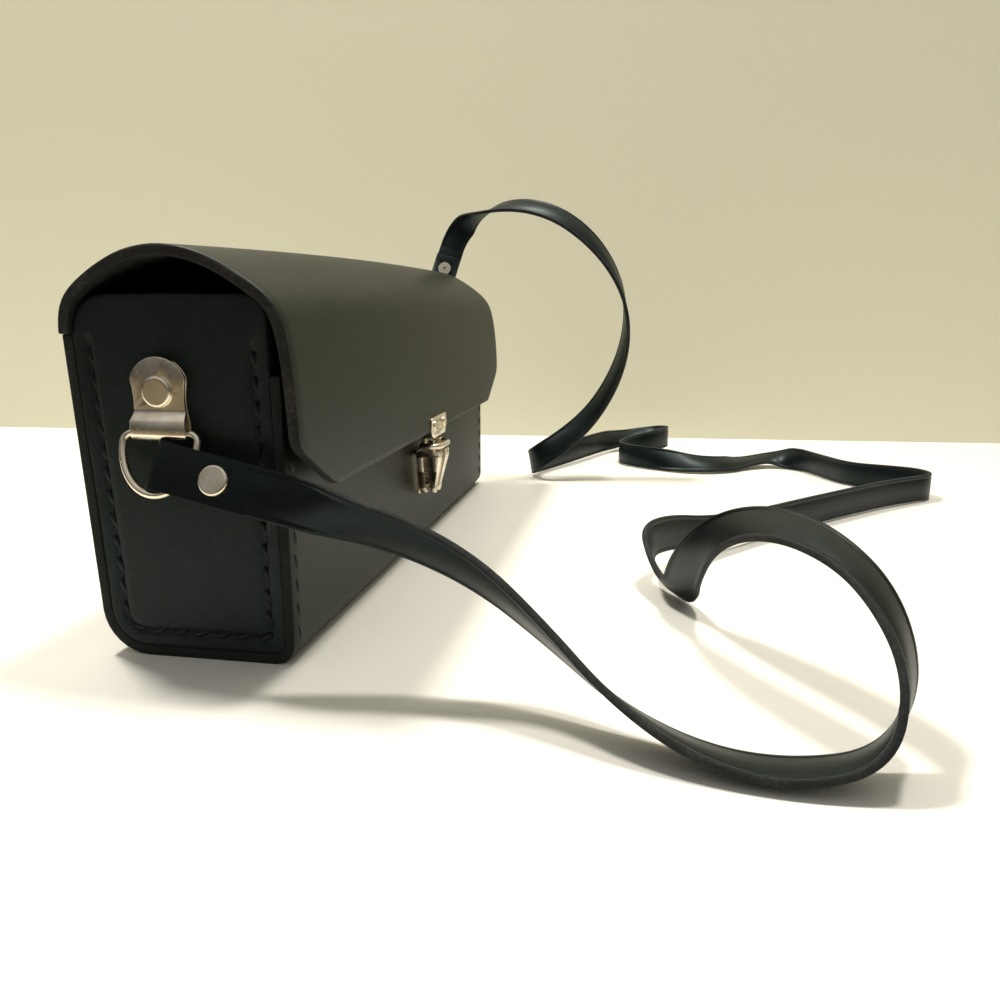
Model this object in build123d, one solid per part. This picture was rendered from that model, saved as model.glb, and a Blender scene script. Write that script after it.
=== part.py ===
from build123d import *
import math
import os

os.makedirs("parts", exist_ok=True)

# Leather case: outside sizes in mm, left end at -X, latch side at -Y, table at Z = 0
CASE_LENGTH = 245.0
LEATHER = 2.8
FRONT_Y = -27.0
BACK_FOOT_Y = 27.6
BACK_TOP_Y = 31.6
FRONT_HEIGHT = 76.0
BACK_HEIGHT = 86.0
FRONT_FOOT_RADIUS = 6.0
BACK_FOOT_RADIUS = 13.0
PANEL_FRONT_RADIUS = 6.0
PANEL_BACK_RADIUS = 10.0

# Lid and flap: one sheet that swings about the outer edge of the back wall
BODY_GAP = 0.3
CROWN_HEIGHT = 107.9
CROWN_RISE = 3.4
CROWN_PEAK_X = 60.0
CROWN_SPAN = 194.0
PANEL_DROP = 9.1
LID_SECTIONS = 5
LID_RISER_SHARE = 0.2
LID_SHOULDER_SHARE = 0.41
FLAP_GAP = 5.1
FLAP_BOTTOM = 46.3
LID_BACK_OVERHANG = 1.5
LID_LEFT_OVERHANG = 8.8
LID_RIGHT_OVERHANG = 5.0
FLAP_CORNER_HEIGHT = 15.0
FLAP_CORNER_LENGTH = 25.0

# Hasp on the flap: plate, tongue and the oval ring that drops over the latch
PLATE_THICKNESS = 0.9
HASP_HALF_WIDTH = 11.0
HASP_FOOT_DROP = 2.3
HASP_FOOT_INSET = 1.8
HASP_RISE = 5.5
HASP_RIVET_X = 7.0
HASP_RIVET_RISE = 2.2
TONGUE_HALF_WIDTH = 4.0
RING_INSET = 1.0
RING_DROP = 5.7
RING_HALF_STRAIGHT = 4.5
RING_BEND = 3.7
RING_WIRE = 2.3

# Latch on the front wall: base with a spine, two pinch levers, pins and a spring
BASE_THICKNESS = 1.4
BASE_HALF_WIDTH = 7.8
BASE_FOOT_HALF_WIDTH = 5.0
BASE_BELOW_PIVOT = 2.5
BASE_ABOVE_LEVER = 0.3
SPINE_HALF_WIDTH = 0.6
SPINE_DEPTH = 6.0
PIVOT_X = 3.2
PIVOT_DROP = 14.4
PIN_DIAMETER = 1.6
PIN_CLEARANCE = 0.06
LEVER_DROP = 2.3
LEVER_WALL_GAP = 1.9
LEVER_REACH = 3.5
LEVER_TAPER = 2.5
LEVER_FLARE = 5.2
CLEVIS_FRONT_WALL = 1.7
CLEVIS_WIDTH = 2.0
CLEVIS_RISE = 2.4
RIM_WIDTH = 2.3
PAD_RECESS = 1.3
RIB_HEIGHT = 0.5
RIB_COUNT = 6
RIB_PITCH = 1.4
RIB_START = 4.2
TAB_INNER_X = 3.5
TAB_OUTER_X = 6.6
TAB_FRONT_REACH = 1.2
TAB_BACK_REACH = 1.1
TAB_RISE = 4.3
SPRING_THICKNESS = 0.25
BASE_RIVET_X = 5.5
BASE_RIVET_RISE = 9.5
BASE_RIVET_HEAD = 0.3
BASE_CORNER = 1.5
BOSS_WALL = 0.6
BACKING_THICKNESS = 0.8
SMALL_RIVET_STEM = 2.0
HOLE_CLEARANCE = 0.05

# Ring clips at the ends: folded plate, rivet, washer and D-ring
CLIP_Y = 5.0
CLIP_RIVET_DROP = 24.0
CLIP_SHEET = 0.8
CLIP_WIDTH = 15.2
CLIP_NECK = 14.0
CLIP_TOP = 8.7
CLIP_BAR_DROP = 10.5
CLIP_STEP_START = 3.0
CLIP_STEP_END = 5.2
CLIP_RIVET_CAP = 8.0
CLIP_RIVET_STEM = 3.0
WASHER_DIAMETER = 10.0
WASHER_THICKNESS = 0.6
D_WIRE = 2.0
D_FIT = 0.05
D_HALF_WIDTH = 10.25
D_SHOULDER = 2.4
D_DEPTH = 15.9
RIGHT_CLIP_TURN = 196.0
LEFT_RING_TILT = 20.0
RIGHT_RING_TILT = 14.0

# Strap
STRAP_WIDTH = 12.5
STRAP_THICKNESS = 1.8
STRAP_END_THICKNESS = 1.3
LEFT_RIVET_REACH = 16.2
RIGHT_RIVET_REACH = 19.0
TAIL_PAST_RIVET = 6.8
TAIL_BEND_START = 5.8
TAIL_BEND_END = 3.4
STRAP_CUT_Y = -20.5
RIGHT_CUT_REACH = 42.5
LEFT_FOLD_Y = 3.9
LEFT_FOLD_DROP = 8.55
LEFT_STRAP_FALL = 12.0
RIGHT_FOLD_DROP = 12.5
STRAP_RIVET_CAP = 8.0
STRAP_RIVET_RING = 6.5

# Route of the strap from the left ring to the middle of the long run
LEFT_ROUTE = [
    (-132.6, -46.0, 43.6),
    (-131.0, -62.0, 38.8),
    (-132.0, -79.0, 30.8),
    (-139.0, -95.5, 20.2),
    (-149.0, -112.0, 9.4),
    (-156.5, -130.0, 3.0),
    (-159.5, -148.0, 1.9),
    (-157.0, -165.5, 6.0),
    (-150.0, -171.3, 20.5),
    (-135.0, -166.5, 34.6),
    (-118.5, -156.0, 40.8),
    (-101.0, -144.8, 39.6),
    (-84.0, -135.0, 31.3),
    (-70.5, -128.5, 17.5),
    (-57.5, -127.5, 4.0),
    (-44.5, -120.0, 7.4),
    (-31.0, -116.0, 13.8),
    (-15.0, -124.5, 13.5),
    (4.0, -139.5, 8.8),
    (28.0, -159.5, 6.9),
    (52.0, -180.5, 6.9),
    (75.0, -202.0, 6.9),
]
LEFT_WIDTHS = [
    (0.40, 0.25, -0.88),
    (0.50, 0.20, -0.84),
    (0.62, 0.15, -0.77),
    (0.74, 0.00, -0.67),
    (0.88, -0.08, -0.47),
    (0.96, -0.15, -0.22),
    (1.00, -0.05, -0.06),
    (0.95, -0.05, -0.25),
    (0.74, -0.40, -0.50),
    (0.52, -0.80, -0.30),
    (0.50, -0.85, 0.15),
    (0.50, -0.65, 0.57),
    (0.55, -0.10, 0.80),
    (0.45, 0.60, 0.66),
    (0.10, 0.85, 0.45),
    (-0.20, 0.45, 0.86),
    (-0.20, 0.20, 0.95),
    (0.00, 0.10, 0.99),
    (0.00, 0.10, 0.99),
    (0.00, 0.05, 1.00),
    (0.00, 0.00, 1.00),
    (0.00, 0.00, 1.00),
]

# Route of the strap from the middle of the long run to the right ring
RIGHT_ROUTE = [
    (75.0, -202.0, 6.9),
    (93.4, -219.2, 6.9),
    (109.0, -236.5, 6.8),
    (121.0, -252.5, 6.8),
    (135.5, -249.5, 6.8),
    (141.5, -235.0, 6.8),
    (147.0, -219.0, 6.7),
    (168.0, -209.0, 6.8),
    (189.0, -200.5, 6.8),
    (201.0, -186.0, 5.4),
    (192.0, -169.0, 3.7),
    (176.0, -156.0, 4.8),
    (171.5, -138.0, 5.4),
    (177.0, -120.0, 6.6),
    (184.5, -103.0, 6.9),
    (199.0, -95.5, 7.0),
    (213.5, -104.0, 8.2),
    (224.0, -119.0, 10.4),
    (240.0, -127.5, 11.0),
    (253.0, -116.0, 9.6),
    (249.0, -98.0, 8.0),
    (232.0, -85.5, 7.6),
    (207.0, -76.0, 7.8),
    (181.0, -65.0, 7.2),
    (160.0, -55.0, 6.8),
    (144.0, -49.5, 7.6),
    (134.5, -57.0, 13.5),
    (139.5, -70.5, 22.5),
    (145.5, -84.0, 35.5),
    (148.5, -94.5, 53.0),
    (150.0, -100.5, 72.5),
    (149.0, -100.5, 93.0),
    (147.5, -93.0, 112.0),
    (145.5, -79.5, 128.5),
    (143.5, -61.5, 140.5),
    (142.0, -40.5, 144.5),
    (140.5, -22.5, 139.0),
]
RIGHT_WIDTHS = [
    (0.00, 0.00, 1.00),
    (0.00, 0.00, 1.00),
    (0.00, 0.00, 1.00),
    (0.00, 0.00, 1.00),
    (0.00, 0.00, 1.00),
    (0.00, 0.00, 1.00),
    (0.00, 0.10, 0.99),
    (0.10, 0.20, 0.97),
    (0.60, 0.40, 0.70),
    (0.90, 0.30, 0.25),
    (1.00, 0.00, 0.12),
    (0.92, 0.00, 0.40),
    (0.78, 0.00, 0.62),
    (0.35, 0.00, 0.93),
    (0.00, 0.00, 1.00),
    (0.00, 0.00, 1.00),
    (0.00, 0.00, 1.00),
    (0.00, 0.10, 0.99),
    (0.20, 0.00, 0.98),
    (0.60, 0.00, 0.80),
    (0.80, 0.30, 0.50),
    (0.40, 0.20, 0.90),
    (0.10, 0.10, 0.99),
    (0.00, 0.10, 0.99),
    (0.00, 0.10, 0.99),
    (0.05, 0.15, 0.98),
    (0.20, 0.40, 0.90),
    (0.50, 0.50, 0.70),
    (0.70, 0.46, 0.54),
    (0.80, 0.48, 0.34),
    (0.92, 0.36, 0.14),
    (0.99, 0.08, 0.02),
    (0.95, -0.25, 0.10),
    (0.85, -0.40, 0.40),
    (0.80, -0.30, 0.55),
    (0.85, -0.10, 0.50),
    (0.93, -0.30, 0.10),
]
RUN_SHARE = 0.45
ARC_STEP = 14.0

FRONT_INNER_Y = FRONT_Y + LEATHER
HALF_LENGTH = CASE_LENGTH / 2
FLAP_Y = FRONT_Y - FLAP_GAP - LEATHER
PANEL_HEIGHT = CROWN_HEIGHT - LEATHER - PANEL_DROP
CLIP_RIVET_Z = PANEL_HEIGHT - CLIP_RIVET_DROP
HASP_TOP = FLAP_BOTTOM + HASP_RISE
HASP_RIVET_Z = FLAP_BOTTOM + HASP_RIVET_RISE
RING_Y = FLAP_Y + RING_INSET
RING_Z = FLAP_BOTTOM - RING_DROP
LEVER_TOP = RING_Z - LEVER_DROP
PIVOT_Z = LEVER_TOP - PIVOT_DROP
BASE_BOTTOM = PIVOT_Z - BASE_BELOW_PIVOT
BASE_TOP = LEVER_TOP + BASE_ABOVE_LEVER
BASE_RIVET_Z = PIVOT_Z + BASE_RIVET_RISE
LEVER_BACK_Y = FRONT_Y - LEVER_WALL_GAP
LEVER_FRONT_TOP_Y = RING_Y - LEVER_REACH
LEVER_FRONT_FOOT_Y = LEVER_FRONT_TOP_Y + LEVER_TAPER
CLEVIS_FRONT_Y = LEVER_FRONT_FOOT_Y + CLEVIS_FRONT_WALL
CLEVIS_BACK_Y = CLEVIS_FRONT_Y + CLEVIS_WIDTH
CLEVIS_TOP = PIVOT_Z + CLEVIS_RISE
TAB_FRONT_Y = RING_Y - TAB_FRONT_REACH
TAB_BACK_Y = RING_Y + TAB_BACK_REACH
TAB_TOP = LEVER_TOP + TAB_RISE


def save(shape, name):
    """Write one piece under its own name."""
    shape.label = name
    export_step(shape, f"parts/{name}.step")


def back_y(z):
    """Outer face of the leaning back wall at a height."""
    return BACK_FOOT_Y + (BACK_TOP_Y - BACK_FOOT_Y) * z / BACK_HEIGHT


def box_between(x0, x1, y0, y1, z0, z1):
    """Box given by its six faces."""
    return Pos((x0 + x1) / 2, (y0 + y1) / 2, (z0 + z1) / 2) * Box(x1 - x0, y1 - y0, z1 - z0)


def rod(start, end, diameter):
    """Round bar between two points."""
    line = Vector(*end) - Vector(*start)
    plane = Plane(origin=start, z_dir=line)
    return extrude(plane * Circle(diameter / 2), line.length)


def case_outline(inset, top):
    """Closed YZ outline of the case body, drawn inside its outer face."""
    corners = [
        (FRONT_Y + inset, top),
        (FRONT_Y + inset, inset),
        (back_y(inset) - inset, inset),
        (back_y(top) - inset, top),
    ]
    face = Polygon(*corners, align=None)
    front_foot = face.vertices().sort_by_distance((corners[1][0], corners[1][1], 0))[0]
    face = fillet(front_foot, FRONT_FOOT_RADIUS - inset)
    back_foot = face.vertices().sort_by_distance((corners[2][0], corners[2][1], 0))[0]
    return fillet(back_foot, BACK_FOOT_RADIUS - inset)


def along_x(face, x0, x1):
    """Extrude a YZ outline from one X to another."""
    return extrude(Plane.YZ.offset(x0) * face, x1 - x0, dir=(1, 0, 0))


def between_y(face, y0, y1):
    """Extrude an XZ outline from one Y to another, y0 in front."""
    return extrude(Plane.XZ.offset(-y0) * face, y1 - y0, dir=(0, 1, 0))


def wrap():
    """Front wall, bottom and back wall, bent from one sheet."""
    body = along_x(case_outline(0, BACK_HEIGHT), -HALF_LENGTH, HALF_LENGTH)
    body -= along_x(case_outline(LEATHER, CROWN_HEIGHT), -HALF_LENGTH - 1, HALF_LENGTH + 1)
    body -= box_between(-HALF_LENGTH - 1, HALF_LENGTH + 1, FRONT_Y - 1, 0, FRONT_HEIGHT, CROWN_HEIGHT)
    for side in (-1, 1):
        x = side * BASE_RIVET_X
        body -= rod((x, FRONT_Y - 1, BASE_RIVET_Z), (x, FRONT_INNER_Y + 1, BASE_RIVET_Z),
                    SMALL_RIVET_STEM + 2 * HOLE_CLEARANCE)
    return body


def end_panel(side):
    """Upright end panel, set between the walls of the wrap."""
    face = case_outline(LEATHER, PANEL_HEIGHT)
    front_top = face.vertices().sort_by_distance((FRONT_INNER_Y, PANEL_HEIGHT, 0))[0]
    face = fillet(front_top, PANEL_FRONT_RADIUS)
    back_top = face.vertices().sort_by_distance((back_y(PANEL_HEIGHT) - LEATHER, PANEL_HEIGHT, 0))[0]
    face = fillet(back_top, PANEL_BACK_RADIUS)
    outer = side * HALF_LENGTH
    inner = side * (HALF_LENGTH - LEATHER)
    panel = along_x(face, min(outer, inner), max(outer, inner))
    panel -= rod((inner - side, CLIP_Y, CLIP_RIVET_Z), (outer + side, CLIP_Y, CLIP_RIVET_Z),
                 CLIP_RIVET_STEM + 2 * HOLE_CLEARANCE)
    return panel


def lid_section(x, rise, inset):
    """YZ outline of the space under the lid's skin at one X, with the crown raised by rise."""
    crown_middle = (BACK_TOP_Y + FLAP_Y) / 2
    half_depth = (BACK_TOP_Y - FLAP_Y) / 2
    rise_of_lid = CROWN_HEIGHT - BACK_HEIGHT
    riser = LID_RISER_SHARE * rise_of_lid
    shoulder = LID_SHOULDER_SHARE * rise_of_lid

    def lifted(y, drop):
        share = 1 - ((y - crown_middle) / half_depth) ** 2
        return Vector(y, CROWN_HEIGHT - drop + rise * share)

    skin = [
        Vector(BACK_TOP_Y, BACK_HEIGHT + BODY_GAP),
        Vector(BACK_TOP_Y, BACK_HEIGHT + riser),
        Vector(BACK_TOP_Y - 1.6, BACK_HEIGHT + shoulder),
        lifted(BACK_TOP_Y - 6.2, shoulder),
        lifted(BACK_TOP_Y - 16.6, 3.0),
        lifted(crown_middle + 3.7, 0.0),
        lifted(crown_middle - 10.6, 2.6),
        lifted(FLAP_Y + 11.0, 9.2),
        lifted(FLAP_Y + 5.3, 12.9),
        Vector(FLAP_Y + 2.6, CROWN_HEIGHT - 18.0),
        Vector(FLAP_Y + 0.7, CROWN_HEIGHT - 31.0),
        Vector(FLAP_Y, CROWN_HEIGHT - 44.0),
        Vector(FLAP_Y, FLAP_BOTTOM),
    ]
    headings = [Vector(0, 1)]
    for before, here, after in zip(skin, skin[1:], skin[2:]):
        headings.append(((here - before).normalized() + (after - here).normalized()).normalized())
    headings.append(Vector(0, -1))
    points = [(here.X - head.Y * inset, here.Y + head.X * inset) for here, head in zip(skin, headings)]
    edges = [Line(points[0], points[1]), Line(points[-2], points[-1])]
    edges += [ThreePointArc(*points[start:start + 3]) for start in range(1, len(points) - 3, 2)]
    middle = crown_middle + inset
    edges.append(Polyline(points[-1], (middle, FLAP_BOTTOM), (middle, BACK_HEIGHT + BODY_GAP), points[0]))
    return Plane.YZ.offset(x) * make_face(edges)


def lid_space(inset):
    """Solid under the lid's skin, from past the left edge to past the right edge."""
    spare = 2
    start = -HALF_LENGTH - LID_LEFT_OVERHANG - spare
    end = HALF_LENGTH + LID_RIGHT_OVERHANG + spare
    sections = []
    for step in range(LID_SECTIONS):
        x = start + (end - start) * step / (LID_SECTIONS - 1)
        rise = CROWN_RISE * (1 - ((x - CROWN_PEAK_X) / CROWN_SPAN) ** 2)
        sections.append(lid_section(x, rise, inset))
    return loft(sections, ruled=True)


def lid():
    """Lid and front flap from one sheet, wider than the body at the flap."""
    sheet = lid_space(0) - lid_space(LEATHER)
    reach = CASE_LENGTH
    for side, overhang in ((-1, LID_LEFT_OVERHANG), (1, LID_RIGHT_OVERHANG)):
        edge = HALF_LENGTH + overhang
        back_edge = HALF_LENGTH + LID_BACK_OVERHANG
        outside = Polygon(
            (side * back_edge, BACK_TOP_Y + 1),
            (side * edge, FLAP_Y),
            (side * edge, FLAP_Y - 5),
            (side * (edge + 20), FLAP_Y - 5),
            (side * (edge + 20), BACK_TOP_Y + 1),
            align=None,
        )
        sheet -= extrude(outside, reach, both=True)
        corner = Polygon(
            (side * (edge + 5), FLAP_BOTTOM + FLAP_CORNER_HEIGHT),
            (side * edge, FLAP_BOTTOM + FLAP_CORNER_HEIGHT),
            (side * (edge - 0.1 * FLAP_CORNER_LENGTH), FLAP_BOTTOM + 0.8 * FLAP_CORNER_HEIGHT),
            (side * (edge - 0.85 * FLAP_CORNER_LENGTH), FLAP_BOTTOM + 0.1 * FLAP_CORNER_HEIGHT),
            (side * (edge - FLAP_CORNER_LENGTH), FLAP_BOTTOM),
            (side * (edge - FLAP_CORNER_LENGTH), FLAP_BOTTOM - 5),
            (side * (edge + 5), FLAP_BOTTOM - 5),
            align=None,
        )
        sheet -= extrude(Plane.XZ * corner, reach, both=True)
        x = side * HASP_RIVET_X
        sheet -= rod((x, FLAP_Y - 1, HASP_RIVET_Z), (x, FLAP_Y + LEATHER + 1, HASP_RIVET_Z),
                     SMALL_RIVET_STEM + 2 * HOLE_CLEARANCE)
    return sheet


def oval_ring():
    """Closed oval ring of round wire, lying level."""
    ring = None
    for side in (-1, 1):
        long_side = rod((-RING_HALF_STRAIGHT, RING_Y + side * RING_BEND, RING_Z),
                        (RING_HALF_STRAIGHT, RING_Y + side * RING_BEND, RING_Z), RING_WIRE)
        ring = long_side if ring is None else ring + long_side
    for side in (-1, 1):
        bend = Pos(side * RING_HALF_STRAIGHT, RING_Y, RING_Z) * Torus(RING_BEND, RING_WIRE / 2)
        half = box_between(0, RING_BEND + RING_WIRE, -RING_BEND - RING_WIRE, RING_BEND + RING_WIRE,
                           -RING_WIRE, RING_WIRE)
        turned = Rot(0, 0, 0 if side > 0 else 180) * half
        ring += bend & (Pos(side * RING_HALF_STRAIGHT, RING_Y, RING_Z) * turned)
    return ring


def hasp():
    """Plate on the flap, with a tongue bent inwards to the oval ring."""
    face_y = FLAP_Y - PLATE_THICKNESS
    shoulder = FLAP_BOTTOM + 0.8
    foot = FLAP_BOTTOM - HASP_FOOT_DROP
    outline = Polygon(
        (-HASP_HALF_WIDTH, HASP_TOP),
        (-HASP_HALF_WIDTH, shoulder),
        (-HASP_HALF_WIDTH + HASP_FOOT_INSET, foot),
        (HASP_HALF_WIDTH - HASP_FOOT_INSET, foot),
        (HASP_HALF_WIDTH, shoulder),
        (HASP_HALF_WIDTH, HASP_TOP),
        align=None,
    )
    outline = fillet(outline.vertices(), 1.6)
    plate = between_y(outline, face_y, FLAP_Y)
    bar_y = RING_Y + RING_BEND
    bar_top = RING_Z + RING_WIRE / 2
    tongue = Polygon(
        (face_y, foot + 1.2),
        (face_y, foot + 0.2),
        (face_y + 1.6, foot - 1.2),
        (bar_y - 1.2, bar_top + 1.1),
        (bar_y - 0.8, bar_top - 0.6),
        (bar_y + 0.8, bar_top - 0.6),
        (bar_y + 0.6, bar_top + 1.4),
        (bar_y - 0.2, bar_top + 2.2),
        (FLAP_Y + 1.2, foot - 0.1),
        (FLAP_Y, foot + 0.8),
        (FLAP_Y, foot + 1.2),
        align=None,
    )
    plate += along_x(tongue, -TONGUE_HALF_WIDTH, TONGUE_HALF_WIDTH)
    plate += oval_ring()
    for side in (-1, 1):
        x = side * HASP_RIVET_X
        plate -= rod((x, face_y - 1, HASP_RIVET_Z), (x, FLAP_Y + 1, HASP_RIVET_Z),
                     SMALL_RIVET_STEM + 2 * HOLE_CLEARANCE)
    return plate


def small_rivet(x, z, head_y, seat_y, far_y, head_diameter):
    """Domed rivet along Y: head outside, clenched end inside."""
    head = between_y(Pos(x, z) * Circle(head_diameter / 2), head_y, seat_y)
    head = fillet(head.edges().sort_by(Axis.Y)[0], 0.6 * (seat_y - head_y))
    stem = rod((x, seat_y, z), (x, far_y, z), SMALL_RIVET_STEM)
    clench = rod((x, far_y, z), (x, far_y + 0.5, z), head_diameter * 0.85)
    return head + stem + clench


def hasp_rivets():
    """Two rivets that hold the hasp to the flap."""
    seat = FLAP_Y - PLATE_THICKNESS
    pair = [small_rivet(side * HASP_RIVET_X, HASP_RIVET_Z, seat - 0.8, seat, FLAP_Y + LEATHER, 4.0)
            for side in (-1, 1)]
    return Compound(children=pair)


def latch_base():
    """Base plate with its spine and the boss that carries the two pins."""
    face_y = FRONT_Y - BASE_THICKNESS
    outline = Polygon(
        (-BASE_HALF_WIDTH, BASE_TOP),
        (-BASE_FOOT_HALF_WIDTH, BASE_BOTTOM),
        (BASE_FOOT_HALF_WIDTH, BASE_BOTTOM),
        (BASE_HALF_WIDTH, BASE_TOP),
        align=None,
    )
    base = between_y(fillet(outline.vertices(), BASE_CORNER), face_y, FRONT_Y)
    base += box_between(-SPINE_HALF_WIDTH, SPINE_HALF_WIDTH, face_y - SPINE_DEPTH, face_y,
                        BASE_BOTTOM + 0.5, LEVER_TOP - 0.8)
    boss_reach = PIN_DIAMETER / 2 + BOSS_WALL
    base += box_between(-PIVOT_X, PIVOT_X, CLEVIS_FRONT_Y + BODY_GAP, CLEVIS_BACK_Y - BODY_GAP,
                        PIVOT_Z - boss_reach, PIVOT_Z + boss_reach)
    for side in (-1, 1):
        base += rod((side * PIVOT_X, CLEVIS_FRONT_Y + BODY_GAP, PIVOT_Z),
                    (side * PIVOT_X, CLEVIS_BACK_Y - BODY_GAP, PIVOT_Z), 2 * boss_reach)
    for side in (-1, 1):
        x = side * PIVOT_X
        base -= rod((x, CLEVIS_FRONT_Y - 1, PIVOT_Z), (x, CLEVIS_BACK_Y + 1, PIVOT_Z),
                    PIN_DIAMETER + 2 * HOLE_CLEARANCE)
        x = side * BASE_RIVET_X
        base -= rod((x, face_y - 1, BASE_RIVET_Z), (x, FRONT_Y + 1, BASE_RIVET_Z),
                    SMALL_RIVET_STEM + 2 * HOLE_CLEARANCE)
    return base


def base_rivets():
    """Two rivets that hold the latch base to the front wall."""
    seat = FRONT_Y - BASE_THICKNESS
    far = FRONT_INNER_Y + BACKING_THICKNESS
    pair = [small_rivet(side * BASE_RIVET_X, BASE_RIVET_Z, seat - BASE_RIVET_HEAD, seat, far, 3.6)
            for side in (-1, 1)]
    return Compound(children=pair)


def latch_backing():
    """Plate inside the front wall, under the rivets of the latch."""
    outline = RectangleRounded(2 * BASE_HALF_WIDTH, BASE_TOP - BASE_BOTTOM - 4, BASE_CORNER)
    outline = Pos(0, (BASE_TOP + BASE_BOTTOM) / 2) * outline
    plate = between_y(outline, FRONT_INNER_Y, FRONT_INNER_Y + BACKING_THICKNESS)
    for side in (-1, 1):
        x = side * BASE_RIVET_X
        plate -= rod((x, FRONT_INNER_Y - 1, BASE_RIVET_Z), (x, FRONT_INNER_Y + 2, BASE_RIVET_Z),
                     SMALL_RIVET_STEM + 2 * HOLE_CLEARANCE)
    return plate


def lever_outline(inset):
    """XZ outline of the right lever; its outer edge is pulled in by inset."""
    lobe = 2.1
    inner_foot = PIVOT_X - 2.0
    inner_top = inner_foot + 0.11 * (LEVER_TOP - PIVOT_Z)
    outer = Spline(
        (PIVOT_X + lobe - inset, PIVOT_Z),
        (PIVOT_X + 3.6 - inset, PIVOT_Z + 5.0),
        (PIVOT_X + LEVER_FLARE - 0.3 - inset, PIVOT_Z + 10.5),
        (PIVOT_X + LEVER_FLARE - inset, LEVER_TOP - 1.2),
    )
    edges = [
        Line((inner_foot, PIVOT_Z), (inner_top, LEVER_TOP)),
        Line((inner_top, LEVER_TOP), (PIVOT_X + LEVER_FLARE - 0.8 - inset, LEVER_TOP)),
        Line((PIVOT_X + LEVER_FLARE - 0.8 - inset, LEVER_TOP), outer @ 1),
        outer,
        ThreePointArc((inner_foot, PIVOT_Z), (PIVOT_X, PIVOT_Z - lobe), outer @ 0),
    ]
    return make_face(edges)


def right_lever():
    """Pinch lever: ribbed pad between two rims, clevis foot and locking tab."""
    front = LEVER_FRONT_TOP_Y
    back = LEVER_BACK_Y
    lever = between_y(lever_outline(PAD_RECESS), front, back)
    lever += between_y(lever_outline(0), front, front + RIM_WIDTH)
    lever += between_y(lever_outline(0), back - RIM_WIDTH, back)
    cap_z = PIVOT_Z + RIB_START + RIB_COUNT * RIB_PITCH
    whole = between_y(lever_outline(0), front, back)
    lever += whole & box_between(0, 12, front, back, cap_z, LEVER_TOP)
    lever += whole & box_between(0, 12, front, back, PIVOT_Z - 3, PIVOT_Z + RIB_START - 1)
    ribs = between_y(lever_outline(PAD_RECESS - RIB_HEIGHT), front, back)
    for count in range(RIB_COUNT):
        z = PIVOT_Z + RIB_START + count * RIB_PITCH
        lever += ribs & box_between(0, 12, front, back, z, z + RIB_PITCH / 2)
    taper = Polygon(
        (LEVER_FRONT_FOOT_Y, PIVOT_Z - 4),
        (LEVER_FRONT_FOOT_Y, PIVOT_Z),
        (front, LEVER_TOP - 3),
        (front - 2, LEVER_TOP - 3),
        (front - 2, PIVOT_Z - 4),
        align=None,
    )
    lever -= along_x(taper, 0, 12)
    lever -= box_between(0, 12, CLEVIS_FRONT_Y, CLEVIS_BACK_Y, PIVOT_Z - 4, CLEVIS_TOP)
    lever -= rod((PIVOT_X, front - 1, PIVOT_Z), (PIVOT_X, back + 1, PIVOT_Z),
                 PIN_DIAMETER + 2 * PIN_CLEARANCE)
    tab = box_between(TAB_INNER_X, TAB_OUTER_X, TAB_FRONT_Y, TAB_BACK_Y, LEVER_TOP - 1, TAB_TOP)
    tab = fillet(tab.edges().filter_by(Axis.Y).sort_by(Axis.Z)[-2:], 0.9)
    return lever + tab


def latch_pins():
    """Two pins, one for each lever."""
    pins = [rod((side * PIVOT_X, LEVER_FRONT_FOOT_Y - 0.4, PIVOT_Z),
                (side * PIVOT_X, LEVER_BACK_Y + 0.3, PIVOT_Z), PIN_DIAMETER) for side in (-1, 1)]
    return Compound(children=pins)


def latch_spring():
    """Leaf spring folded over the spine, its legs flared towards the levers."""
    inner = SPINE_HALF_WIDTH
    outer = inner + SPRING_THICKNESS
    top = LEVER_TOP - 0.8
    foot = CLEVIS_TOP + 1.2
    flare = 0.15
    front = FRONT_Y - BASE_THICKNESS - SPINE_DEPTH + 1
    back = FRONT_Y - BASE_THICKNESS - 1.2
    outline = Polygon(
        (-outer, top + SPRING_THICKNESS),
        (outer, top + SPRING_THICKNESS),
        (outer, top - 4),
        (outer + flare, foot),
        (inner + flare, foot),
        (inner, top - 4),
        (inner, top),
        (-inner, top),
        (-inner, top - 4),
        (-inner - flare, foot),
        (-outer - flare, foot),
        (-outer, top - 4),
        align=None,
    )
    return between_y(outline, front, back)


def clip_place(side):
    """Place of a ring clip: local X outwards from the wall, local -Z towards its ring."""
    if side < 0:
        return Location((-HALF_LENGTH, CLIP_Y, CLIP_RIVET_Z), (0, 0, 180))
    turned = Location((0, 0, 0), (RIGHT_CLIP_TURN, 0, 0))
    return Location((HALF_LENGTH, CLIP_Y, CLIP_RIVET_Z)) * turned


BAR_X = CLIP_SHEET + D_WIRE / 2 + D_FIT
FOLD_INNER = D_WIRE / 2 + D_FIT
FOLD_OUTER = FOLD_INNER + CLIP_SHEET
LEAF_X = CLIP_SHEET + 0.3


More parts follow.
